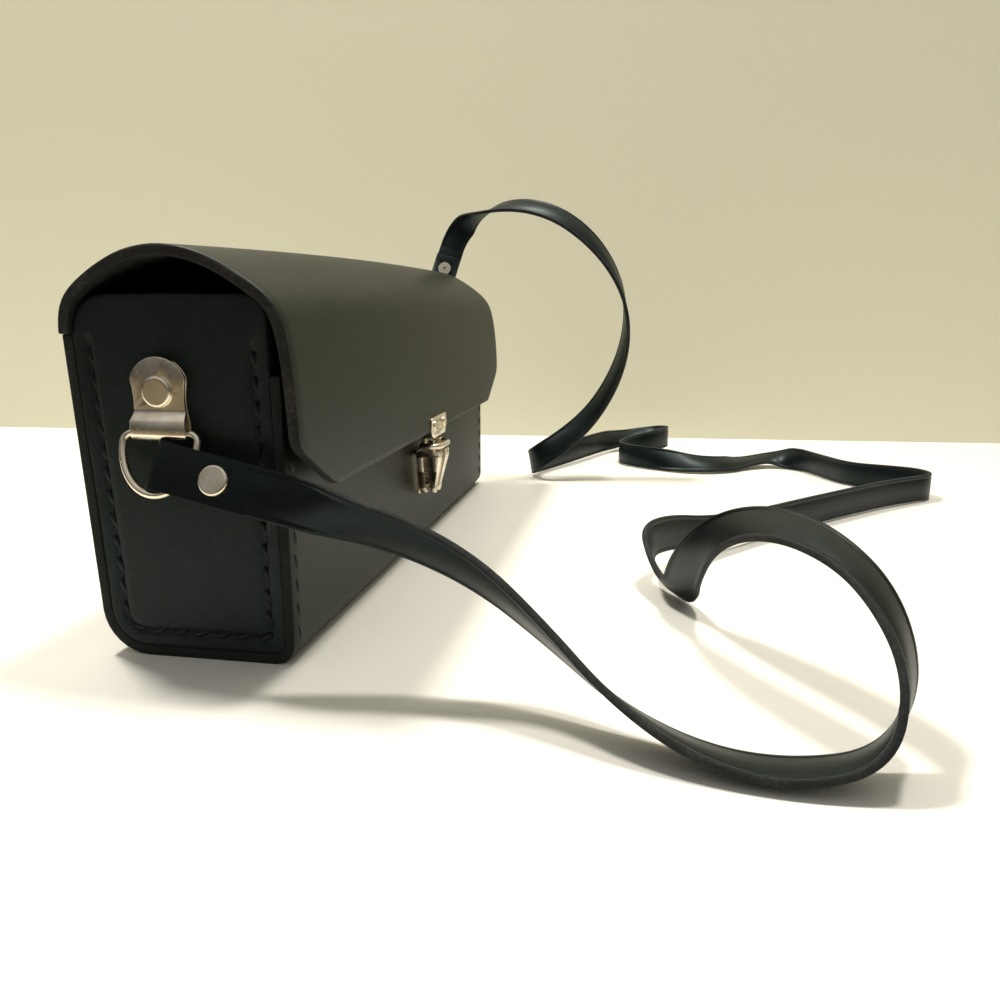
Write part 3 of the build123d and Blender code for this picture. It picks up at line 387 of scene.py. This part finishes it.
def meshObject(name, points, faces, materials, faceSlots=None, smooth=True):
    mesh = bpy.data.meshes.new(name)
    mesh.from_pydata([tuple(c * mm for c in point) for point in points], [], faces)
    for material in materials:
        mesh.materials.append(material)
    if faceSlots:
        mesh.polygons.foreach_set("material_index", faceSlots)
    mesh.polygons.foreach_set("use_smooth", [smooth] * len(faces))
    mesh.update()
    made = bpy.data.objects.new(name, mesh)
    bpy.context.scene.collection.objects.link(made)
    return made


def applyModifiers(made):
    evaluated = made.evaluated_get(bpy.context.evaluated_depsgraph_get())
    mesh = bpy.data.meshes.new_from_object(evaluated)
    made.modifiers.clear()
    made.data = mesh
    return made


def placePiece(made, body, node=None):
    if node:
        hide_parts(node)
    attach(made, body)


def roundEdges(made, width):
    bevel = made.modifiers.new("roundedEdges", "BEVEL")
    bevel.width = width * mm
    bevel.segments = 2
    bevel.limit_method = "ANGLE"
    bevel.angle_limit = math.radians(50)
    bevel.harden_normals = False
    return applyModifiers(made)


def backY(z):
    share = z / caseShape["backHeight"]
    return caseShape["backFootY"] + (caseShape["backTopY"] - caseShape["backFootY"]) * share


def arcPoints(corner, before, after, radius, steps):
    # rounds one corner between two straight sides
    toBefore = (before - corner).normalized()
    toAfter = (after - corner).normalized()
    angle = toBefore.angle(toAfter)
    reach = radius / math.tan(angle / 2)
    centre = corner + (toBefore + toAfter).normalized() * (radius / math.sin(angle / 2))
    start = corner + toBefore * reach - centre
    end = corner + toAfter * reach - centre
    sweep = start.angle_signed(end)
    turned = []
    for i in range(steps + 1):
        a = -sweep * i / steps
        turned.append(centre + Vector((start.x * math.cos(a) - start.y * math.sin(a),
                                       start.x * math.sin(a) + start.y * math.cos(a))))
    return turned


def wrapSection(inset):
    # front wall, bottom and back wall as one bent sheet, from the front lip round to the back lip
    s = caseShape
    frontTop = Vector((s["frontY"] + inset, s["frontHeight"]))
    frontFoot = Vector((s["frontY"] + inset, inset))
    backFoot = Vector((backY(inset) - inset, inset))
    backTop = Vector((s["backTopY"] - inset, s["backHeight"]))
    points = [frontTop.lerp(frontFoot, i / 12 * 0.9) for i in range(13)]
    points += arcPoints(frontFoot, frontTop, backFoot, s["frontFootRadius"] - inset, 6)
    points += [frontFoot.lerp(backFoot, 0.3 + 0.2 * i) for i in range(2)]
    points += arcPoints(backFoot, frontFoot, backTop, s["backFootRadius"] - inset, 8)
    points += [backFoot.lerp(backTop, 0.25 + 0.75 * i / 12) for i in range(13)]
    return points


def sheetShell(name, outer, inner, stationX, materials, wobble=0.0):
    # closed sheet between two grids of points; slot 0 grain side, 1 flesh side, 2 cut edge
    rows, columns = len(outer), len(stationX)
    points, faces, slots = [], [], []
    for grid in (outer, inner):
        for row in grid:
            for x, y, z in row:
                drift = noise.noise(Vector((x, y, z)) * 0.11) * wobble
                points.append((x + drift, y, z))
    half = rows * columns

    def quad(a, b, c, d, slot):
        faces.append((a, b, c, d))
        slots.append(slot)

    for r in range(rows - 1):
        for c in range(columns - 1):
            i = r * columns + c
            quad(i, i + columns, i + columns + 1, i + 1, 0)
            quad(half + i, half + i + 1, half + i + columns + 1, half + i + columns, 1)
    for c in range(columns - 1):
        top, last = c, (rows - 1) * columns + c
        quad(top, top + 1, half + top + 1, half + top, 2)
        quad(last, half + last, half + last + 1, last + 1, 2)
    for r in range(rows - 1):
        left, right = r * columns, r * columns + columns - 1
        quad(left, half + left, half + left + columns, left + columns, 2)
        quad(right, right + columns, half + right + columns, half + right, 2)
    return meshObject(name, points, faces, materials, slots)


def makeWrap():
    s = caseShape
    stationX = [-s["length"] / 2 + s["length"] * i / (s["stations"] - 1) for i in range(s["stations"])]
    outer, inner = [
        [[(x, p.x, p.y) for x in stationX] for p in wrapSection(inset)]
        for inset in (0, s["leather"])
    ]
    made = sheetShell("wrapLeather", outer, inner, stationX, [bodyLeather, fleshLeather, rawEdge])
    return roundEdges(made, s["edgeRound"])


def panelOutline(inset):
    # outline of the end panel, drawn in by inset, with as many points at any inset
    s, shape = caseShape, panelShape
    edge = s["leather"] + inset
    top = s["panelHeight"] - inset
    corners = [
        (Vector((s["frontY"] + edge, top)), s["panelFrontRadius"]),
        (Vector((s["frontY"] + edge, edge)), s["frontFootRadius"] - s["leather"]),
        (Vector((backY(edge) - edge, edge)), s["backFootRadius"] - s["leather"]),
        (Vector((backY(top) - edge, top)), s["panelBackRadius"]),
    ]
    arcs = []
    for i, (corner, radius) in enumerate(corners):
        before, after = corners[i - 1][0], corners[(i + 1) % 4][0]
        radius = max(radius - inset, shape["leastRadius"])
        arcs.append(arcPoints(corner, before, after, radius, shape["cornerSteps"]))
    points = []
    count = shape["sidePoints"]
    for arc, nextArc in zip(arcs, arcs[1:] + arcs[:1]):
        points += arc
        points += [arc[-1].lerp(nextArc[0], (k + 1) / (count + 1)) for k in range(count)]
    return points


def panelDepth(inset, walked, place, side):
    # how far the panel's face lies below its plane: worn edge, stitch groove and slight waves
    shape = panelShape
    depth = shape["edgeDrop"] * (1 - min(inset / shape["edgeReach"], 1.0)) ** 2
    if place.y < shape["sewnBelow"] and inset < shape["sewnWithin"]:
        groove = math.exp(-((inset - stitches["inset"]) / shape["grooveHalfWidth"]) ** 2)
        pucker = 0.5 + 0.5 * math.cos(2 * math.pi * walked / stitches["pitch"])
        pucker *= 0.7 + 0.6 * noise.noise(Vector((walked * 0.09, side * 5.0, 1.0)))
        depth += groove * (stitches["groove"] + stitches["pucker"] * pucker)
        if inset < stitches["inset"]:
            depth += shape["lipDip"] * pucker * math.sin(math.pi * inset / stitches["inset"])
    return depth + shape["waviness"] * noise.noise(Vector((place.x * 0.06, place.y * 0.06, side)))


def makePanel(side):
    # end panel with the leather drawn in along its stitching
    s, shape = caseShape, panelShape
    outerX, innerX = s["length"] / 2, s["length"] / 2 - s["leather"]
    rings = [panelOutline(inset) for inset in shape["insets"]]
    count = len(rings[0])
    points, faces, slots = [], [], []
    for inset, ring in zip(shape["insets"], rings):
        walked = 0.0
        for i, p in enumerate(ring):
            walked += (p - ring[i - 1]).length if i else 0.0
            depth = panelDepth(inset, walked, p, side)
            points.append((side * (outerX - max(depth, 0.0)), p.x, p.y))
    middle = len(points)
    centre = sum(rings[-1], Vector((0, 0))) / count
    points.append((side * outerX, centre.x, centre.y))
    back = len(points)
    points += [(side * innerX, p.x, p.y) for p in rings[0]]
    points.append((side * innerX, centre.x, centre.y))
    backMiddle = len(points) - 1

    def face(corners, slot):
        faces.append(tuple(corners) if side < 0 else tuple(reversed(corners)))
        slots.append(slot)

    for r in range(len(rings) - 1):
        for i in range(count):
            a, b = r * count + i, r * count + (i + 1) % count
            face((a, b, b + count, a + count), 0)
    last = (len(rings) - 1) * count
    for i in range(count):
        j = (i + 1) % count
        face((last + i, last + j, middle), 0)
        face((j, i, back + i, back + j), 2)
        face((back + j, back + i, backMiddle), 1)
    name = "endPanelLeft" if side < 0 else "endPanelRight"
    return meshObject(name, points, faces, [endLeather, fleshLeather, rawEdge], slots)


def lidSection(x, inset):
    # one section of the lid: hinge line, domed top, tight front bend and hanging flap
    s, c = lidShape, caseShape
    rise = s["crownRise"] * (1 - ((x - s["crownPeakX"]) / s["crownSpan"]) ** 2)
    middle = (c["backTopY"] + s["flapY"]) / 2
    halfDepth = (c["backTopY"] - s["flapY"]) / 2

    def lifted(y, drop):
        share = 1 - ((y - middle) / halfDepth) ** 2
        return Vector((y, s["crown"] - drop + rise * share))

    skin = [Vector((c["backTopY"] - d, c["backHeight"] + up)) for d, up in s["riser"]]
    skin += [lifted(c["backTopY"] - d, drop) for d, drop in s["backDome"]]
    skin += [lifted(middle + d, drop) for d, drop in s["midDome"]]
    skin += [lifted(s["flapY"] + d, drop) for d, drop in s["frontDome"]]
    skin += [Vector((s["flapY"] + d, s["crown"] - drop)) for d, drop in s["flapBend"]]
    skin.append(Vector((s["flapY"], s["flapBottom"])))
    return shiftLine(softenLine(skin), inset)


def softenLine(skin):
    # smooth line through the points, as the rolled hide takes between its bends
    fine = []
    steps = lidShape["steps"]
    for i in range(len(skin) - 1):
        p0, p1, p2, p3 = skin[max(i - 1, 0)], skin[i], skin[i + 1], skin[min(i + 2, len(skin) - 1)]
        if i == 0:
            p0 = p1 + Vector((0, -4))
        if i == len(skin) - 2:
            p3 = p2 + Vector((0, -10))
        reach = (p2 - p1).length
        m1 = (p2 - p0) / max((p2 - p0).length, 1e-6) * reach
        m2 = (p3 - p1) / max((p3 - p1).length, 1e-6) * reach
        for k in range(steps[i]):
            t = k / steps[i]
            fine.append(p1 * (2 * t**3 - 3 * t**2 + 1) + m1 * (t**3 - 2 * t**2 + t)
                        + p2 * (3 * t**2 - 2 * t**3) + m2 * (t**3 - t**2))
    fine.append(skin[-1])
    for turn in range(lidShape["softening"]):
        fine = [fine[0]] + [(a + b * 2 + d) / 4 for a, b, d in zip(fine, fine[1:], fine[2:])] + [fine[-1]]
    return fine


def shiftLine(fine, inset):
    # the same line on the other side of the sheet
    shifted = []
    for i, p in enumerate(fine):
        heading = (fine[min(i + 1, len(fine) - 1)] - fine[max(i - 1, 0)]).normalized()
        if i == 0:
            heading = Vector((0, 1))
        if i == len(fine) - 1:
            heading = Vector((0, -1))
        shifted.append(Vector((p.x - heading.y * inset, p.y + heading.x * inset)))
    return shifted


def lidEdge(side, y, z):
    # where the cut edge of the lid runs, seen from above, with the flap's clipped corners
    s, c = lidShape, caseShape
    overhang = s["leftOverhang"] if side < 0 else s["rightOverhang"]
    share = (c["backTopY"] - y) / (c["backTopY"] - s["flapY"])
    x = c["length"] / 2 + s["backOverhang"] + (overhang - s["backOverhang"]) * min(max(share, 0), 1)
    above = max((z - s["flapBottom"]) / s["cornerHeight"], 0.0)
    for (h0, c0), (h1, c1) in zip(s["cornerCut"], s["cornerCut"][1:]):
        if h0 <= above <= h1:
            x -= s["cornerLength"] * (c0 + (c1 - c0) * (above - h0) / (h1 - h0))
            break
    return side * x


def makeLid():
    s = lidShape
    stations = [i / (s["stations"] - 1) for i in range(s["stations"])]
    grids = []
    for inset in (0.0, caseShape["leather"]):
        sections, grid = {}, []
        for r, place in enumerate(lidSection(0.0, 0.0)):
            left, right = lidEdge(-1, place.x, place.y), lidEdge(1, place.x, place.y)
            row = []
            for share in stations:
                x = left + (right - left) * share
                key = round(x, 2)
                if key not in sections:
                    sections[key] = lidSection(x, inset)
                row.append((x, *sections[key][r]))
            grid.append(row)
        grids.append(grid)
    materials = [bodyLeather, fleshLeather, lidEdgeLeather]
    made = sheetShell("lidLeather", *grids, stations, materials, s["wobble"])
    return roundEdges(made, s["edgeRound"])


def makeHingeFold():
    # thin bead of leather in the fold, between the lid and the back wall
    s = hingeFold
    n = s["sides"]
    turns = [2 * math.pi * i / n for i in range(n)]
    ring = [(s["y"] + s["radius"] * math.cos(a), s["z"] + s["radius"] * math.sin(a)) for a in turns]
    ends = (-caseShape["length"] / 2 + s["endGap"], caseShape["length"] / 2 - s["endGap"])
    faces = [(i, (i + 1) % n, n + (i + 1) % n, n + i) for i in range(n)]
    faces += [tuple(reversed(range(n))), tuple(range(n, 2 * n))]
    return meshObject("hingeFold", [(x, y, z) for x in ends for y, z in ring], faces, [bodyLeather])


def splinePoints(places, name):
    # reads back the smooth line that a NURBS spline draws through its control points
    curve = bpy.data.curves.new(name, "CURVE")
    curve.dimensions = "3D"
    spline = curve.splines.new("NURBS")
    spline.points.add(len(places) - 1)
    for point, place in zip(spline.points, places):
        point.co = (*(c * mm for c in place), 1)
    spline.order_u = 3
    spline.use_endpoint_u = True
    spline.resolution_u = strap["resolution"]
    holder = bpy.data.objects.new(name, curve)
    bpy.context.scene.collection.objects.link(holder)
    bpy.context.view_layer.update()
    mesh = bpy.data.meshes.new_from_object(holder)
    line = [v.co / mm for v in mesh.vertices]
    bpy.data.objects.remove(holder)
    bpy.data.meshes.remove(mesh)
    return line


def strapSection():
    # outline of the strap's cut end, its lower side first, with soft corners and a creased line by each edge
    w, t, crease = strap["width"] / 2, strap["thickness"] / 2, strap["crease"]
    soft, wide = strap["softEdge"], strap["creaseHalfWidth"]
    half = [(-w, t - soft), (-w + soft, t), (-w + crease - wide, t), (-w + crease, t - strap["creaseDepth"]),
            (-w + crease + wide, t), (0.0, t)]
    upper = half + [(-a, b) for a, b in reversed(half[:-1])]
    return [(a, -b) for a, b in upper] + list(reversed(upper))


def makeRun(name, route, node, cutY=None):
    # strap along its route, pared down to the end piece that it meets; at cutY that end is cut square to Y
    joined = Vector(route[0][0] if cutY is not None else route[-1][0])
    middle = splinePoints([place for place, across in route], name + "Line")
    leaning = [Vector(place) + Vector(across) * strap["leanReach"] for place, across in route]
    lean = splinePoints(leaning, name + "Lean")
    section = strapSection()
    edgeFaces = {0, 9, 10, 11, 20, 21}
    points, faces, slots = [], [], []
    n = len(section)
    thin = strap["endThickness"] / strap["thickness"]
    for i, place in enumerate(middle):
        heading = (middle[min(i + 1, len(middle) - 1)] - middle[max(i - 1, 0)]).normalized()
        across = lean[i] - place
        across = (across - heading * across.dot(heading)).normalized()
        out = heading.cross(across)
        fromEnd = min((place - joined).length / strap["thinned"], 1.0)
        pared = thin + (1 - thin) * fromEnd * fromEnd * (3 - 2 * fromEnd)
        points += [place + across * a + out * b * pared for a, b in section]
    for i in range(len(middle) - 1):
        for k in range(n):
            a, b = i * n + k, i * n + (k + 1) % n
            faces.append((a, b, b + n, a + n))
            slots.append(1 if k in edgeFaces else 0)
    faces.append(tuple(reversed(range(n))))
    faces.append(tuple((len(middle) - 1) * n + k for k in range(n)))
    slots += [1, 1]
    if cutY is not None:
        heading = (middle[1] - middle[0]).normalized()
        for k in range(n):
            points[k] = points[k] + heading * ((cutY - points[k].y) / heading.y)
    made = meshObject(name, points, faces, [strapLeather, strapEdge], slots)
    caps = {frozenset(edge) for face in faces[-2:] for edge in zip(face, face[1:] + face[:1])}
    for edge in made.data.edges:
        edge.use_edge_sharp = frozenset(edge.vertices) in caps
    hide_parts(node)
    return made, middle


def stitchTree():
    # one stitch of waxed thread at each step along a row, laid flat on the leather
    tree = bpy.data.node_groups.new("stitchRow", "GeometryNodeTree")
    face = tree.interface
    face.new_socket("Geometry", in_out="INPUT", socket_type="NodeSocketGeometry")
    for name in ("Pitch", "Length", "Width", "Height", "Lean"):
        face.new_socket(name, in_out="INPUT", socket_type="NodeSocketFloat")
    face.new_socket("Out", in_out="INPUT", socket_type="NodeSocketVector")
    face.new_socket("Thread", in_out="INPUT", socket_type="NodeSocketMaterial")
    face.new_socket("Geometry", in_out="OUTPUT", socket_type="NodeSocketGeometry")
    entry = addNode(tree, "NodeGroupInput").outputs
    spots = addNode(tree, "GeometryNodeCurveToPoints", {
        "Curve": entry["Geometry"], "Length": entry["Pitch"]}, mode="LENGTH")
    ball = addNode(tree, "GeometryNodeMeshUVSphere", {"Segments": 10, "Rings": 7, "Radius": 0.5})
    size = addNode(tree, "ShaderNodeCombineXYZ", {
        "X": entry["Length"], "Y": entry["Width"], "Z": entry["Height"]})
    stitch = addNode(tree, "GeometryNodeTransform", {
        "Geometry": ball.outputs["Mesh"], "Scale": size.outputs[0]})
    lean = addNode(tree, "ShaderNodeCombineXYZ", {"Z": entry["Lean"]})
    leant = addNode(tree, "GeometryNodeTransform", {
        "Geometry": stitch.outputs[0], "Rotation": lean.outputs[0]})
    flat = addNode(tree, "FunctionNodeAlignRotationToVector", {"Vector": entry["Out"]}, axis="Z")
    along = addNode(tree, "FunctionNodeAlignRotationToVector", {
        "Rotation": flat.outputs[0], "Vector": spots.outputs["Tangent"]}, axis="X", pivot_axis="Z")
    placed = addNode(tree, "GeometryNodeInstanceOnPoints", {
        "Points": spots.outputs["Points"], "Instance": leant.outputs[0], "Rotation": along.outputs[0]})
    real = addNode(tree, "GeometryNodeRealizeInstances", {"Geometry": placed.outputs[0]})
    smooth = addNode(tree, "GeometryNodeSetShadeSmooth", {"Geometry": real.outputs[0]})
    finish = addNode(tree, "GeometryNodeSetMaterial", {
        "Geometry": smooth.outputs[0], "Material": entry["Thread"]})
    addNode(tree, "NodeGroupOutput", {"Geometry": finish.outputs[0]})
    return tree


stitchNodes = stitchTree()


def stitchRow(name, line, outward, sink):
    # a row of stitches along a line of points in mm, sunk into the leather
    s = stitches
    curve = bpy.data.curves.new(name, "CURVE")
    curve.dimensions = "3D"
    spline = curve.splines.new("POLY")
    spline.points.add(len(line) - 1)
    for point, place in zip(spline.points, line):
        point.co = (*((c - sink * o) * mm for c, o in zip(place, outward)), 1)
    holder = bpy.data.objects.new(name + "Line", curve)
    bpy.context.scene.collection.objects.link(holder)
    modifier = holder.modifiers.new("stitches", "NODES")
    modifier.node_group = stitchNodes
    values = {key: s[key.lower()] * mm for key in ("Pitch", "Length", "Width", "Height")}
    values |= {"Lean": math.radians(s["lean"]), "Out": outward, "Thread": waxedThread}
    for item in stitchNodes.interface.items_tree:
        if item.in_out == "INPUT" and item.name in values:
            modifier[item.identifier] = values[item.name]
    holder.update_tag()
    bpy.context.view_layer.update()
    evaluated = holder.evaluated_get(bpy.context.evaluated_depsgraph_get())
    mesh = bpy.data.meshes.new_from_object(evaluated)
    mesh.name = name
    bpy.data.objects.remove(holder)
    return mesh


def joinMeshes(name, meshes, material):
    points, faces = [], []
    for mesh in meshes:
        start = len(points)
        points += [v.co / mm for v in mesh.vertices]
        faces += [tuple(start + i for i in p.vertices) for p in mesh.polygons]
        bpy.data.meshes.remove(mesh)
    return meshObject(name, points, faces, [material])


def makeStitches():
    s, c = stitches, caseShape
    half = c["length"] / 2
    lean = (0, 1, -(c["backTopY"] - c["backFootY"]) / c["backHeight"])
    rows = []
    for side in (-1, 1):
        line = [(side * half, p.x, p.y) for p in panelOutline(s["inset"]) if p.y < s["panelTop"]]
        rows.append(stitchRow(f"panelRow{side}", line, (side, 0, 0), s["panelSink"]))
        x = side * (half - s["wallInset"])
        front = [(x, c["frontY"], z) for z in s["frontSpan"]]
        rows.append(stitchRow(f"frontRow{side}", front, (0, -1, 0), s["wallSink"]))
        back = [(x, backY(z), z) for z in s["backSpan"]]
        rows.append(stitchRow(f"backRow{side}", back, lean, s["wallSink"]))
    return joinMeshes("sideStitches", rows, waxedThread)


placePiece(makeWrap(), "case", "case_wrap")
placePiece(makePanel(-1), "case", "end_panel_left")
placePiece(makePanel(1), "case", "end_panel_right")
placePiece(makeLid(), "lid", "lid")
placePiece(makeHingeFold(), "case")
placePiece(makeStitches(), "case")
print("case and stitches made")

leftRun, leftLine = makeRun("strapRunLeft", leftRoute, "strap_run_left", cutY=leftRoute[0][0][1])
rightRun, rightLine = makeRun("strapRunRight", rightRoute, "strap_run_right")
print("strap made")


def dress(name, body, width, materials, pick=None):
    # copy of a CAD piece with its sharp edges broken and its own finishes
    node = nodes[name]
    mesh = node.data.copy()
    mesh.transform(node.matrix_world)
    shell = bmesh.new()
    shell.from_mesh(mesh)
    bmesh.ops.remove_doubles(shell, verts=shell.verts, dist=0.002 * mm)
    bmesh.ops.recalc_face_normals(shell, faces=shell.faces)
    bmesh.ops.dissolve_limit(shell, angle_limit=math.radians(1.5), verts=shell.verts, edges=shell.edges)
    shell.to_mesh(mesh)
    shell.free()
    mesh.materials.clear()
    for material in materials:
        mesh.materials.append(material)
    for face in mesh.polygons:
        face.material_index = 1 if pick and pick(face.center / mm, face.normal) else 0
        face.use_smooth = True
    made = bpy.data.objects.new(name + "Dressed", mesh)
    bpy.context.scene.collection.objects.link(made)
    made = roundEdges(made, width)
    for edge in made.data.edges:
        edge.use_edge_sharp = False
    placePiece(made, body, name)
    return made


def inPad(place, normal):
    outward = abs(normal.x) > 0.5 and place.x * normal.x > 0
    return (outward and leverPad["front"] < place.y < leverPad["back"]
            and leverPad["foot"] < place.z < leverPad["top"])


def alongEdge(across):
    return lambda place, normal: abs(normal.dot(Vector(across))) > 0.9


def hangRun(run):
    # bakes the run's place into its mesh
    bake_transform(run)


strapMaterials = [strapLeather, strapEdge]
for end, run, line in (("left", leftRun, leftLine), ("right", rightRun, rightLine[::-1])):
    # each lever's sunk pad takes the darker nickel of painted shade
    dress(f"latch_lever_{end}", f"lever_{end}", 0.16, [nickelPlate, padShadeNickel], inPad)
    dress(f"ring_clip_{end}", "case", 0.2, [nickelPlate])
    pickEdge = alongEdge(strap[end + "Across"])
    fold = dress(f"strap_end_{end}", f"{end}_ring", 0.25, strapMaterials, pickEdge)
    hangRun(run)
dress("hasp", "lid", 0.2, [nickelPlate])

metalWords = ("rivet", "d_ring", "latch_base", "latch_pins", "latch_backing", "latch_spring", "washer")
for name in [n for n in nodes if any(word in n for word in metalWords)]:
    nodes[name].data.materials.clear()
    nodes[name].data.materials.append(springSteel if name == "latch_spring" else nickelPlate)
print("hardware finished")


def flatSheet(name, corners, material):
    return meshObject(name, corners, [(0, 1, 2, 3)], [material], smooth=False)


def makeStage():
    s = studio
    reach, edge, drop = s["reach"], s["tableEdge"], -s["groundDrop"]
    floor = flatSheet("floor", [(edge, -reach, 0), (reach, -reach, 0), (reach, reach, 0), (edge, reach, 0)],
                      plainMaterial("paintedBoard", s["floorColour"], 0.5))
    # dark sheet a little below the table, beyond its edge; its colour sets how dark the nickel's reflections
    # are
    ground = flatSheet("ground", [(-reach, -reach, drop), (edge, -reach, drop), (edge, reach, drop),
                                  (-reach, reach, drop)], plainMaterial("darkBeyondTable", s["roomColour"], 0.9))
    a, b = Vector((*s["wallLeft"], 0)), Vector((*s["wallRight"], 0))
    along = (b - a).normalized() * reach
    low, high = (a + b) / 2 - along, (a + b) / 2 + along
    up = Vector((0, 0, s["wallHeight"]))
    wall = flatSheet("wall", [low, high, high + up, low + up],
                     wallMaterial("paintedWall", s["wallColour"], 0.9))


def makeRoomLight():
    # light from all round, stronger from above
    s = studio
    world = bpy.data.worlds.new("softRoom")
    bpy.context.scene.world = world
    world.use_nodes = True
    tree = world.node_tree
    toward = addNode(tree, "ShaderNodeNewGeometry").outputs["Incoming"]
    height = addNode(tree, "ShaderNodeSeparateXYZ", {"Vector": toward}).outputs["Z"]
    strength = addNode(tree, "ShaderNodeMapRange", {
        "Value": height, "From Min": s["skyFrom"], "From Max": s["skyTo"],
        "To Min": s["room"], "To Max": s["ceiling"]})
    background = tree.nodes["Background"]
    background.inputs["Color"].default_value = s["skyTint"]
    tree.links.new(strength.outputs[0], background.inputs["Strength"])


def makeLamps():
    aim = Vector(studio["lampAim"]) * mm
    for i, lamp in enumerate(studio["lamps"]):
        light = bpy.data.lights.new(f"lamp{i}", "AREA")
        light.shape = "DISK"
        light.size = lamp["size"] * mm
        light.energy = lamp["power"]
        light.color = studio["lampTint"]
        holder = bpy.data.objects.new(f"lamp{i}", light)
        place = Vector(lamp["place"]) * mm
        holder.location = place
        holder.rotation_euler = (aim - place).to_track_quat("-Z", "Y").to_euler()
        bpy.context.scene.collection.objects.link(holder)


def makeCamera():
    c = camera
    yaw, pitch = math.radians(c["yaw"]), math.radians(c["pitch"])
    forward = Vector((math.cos(yaw) * math.cos(pitch), math.sin(yaw) * math.cos(pitch), -math.sin(pitch)))
    right = Vector((math.sin(yaw), -math.cos(yaw), 0))
    up = right.cross(forward)
    data = bpy.data.cameras.new("camera")
    data.lens = c["lens"]
    data.sensor_width = c["sensor"]
    data.clip_start = c["clipStart"]
    holder = bpy.data.objects.new("camera", data)
    turn = Matrix((right, up, -forward)).transposed().to_4x4()
    holder.matrix_world = Matrix.Translation(Vector(c["place"]) * mm) @ turn
    bpy.context.scene.collection.objects.link(holder)
    bpy.context.scene.camera = holder


makeStage()
makeRoomLight()
makeLamps()
makeCamera()
bpy.context.scene.view_settings.view_transform = "Standard"
print("studio and camera set")
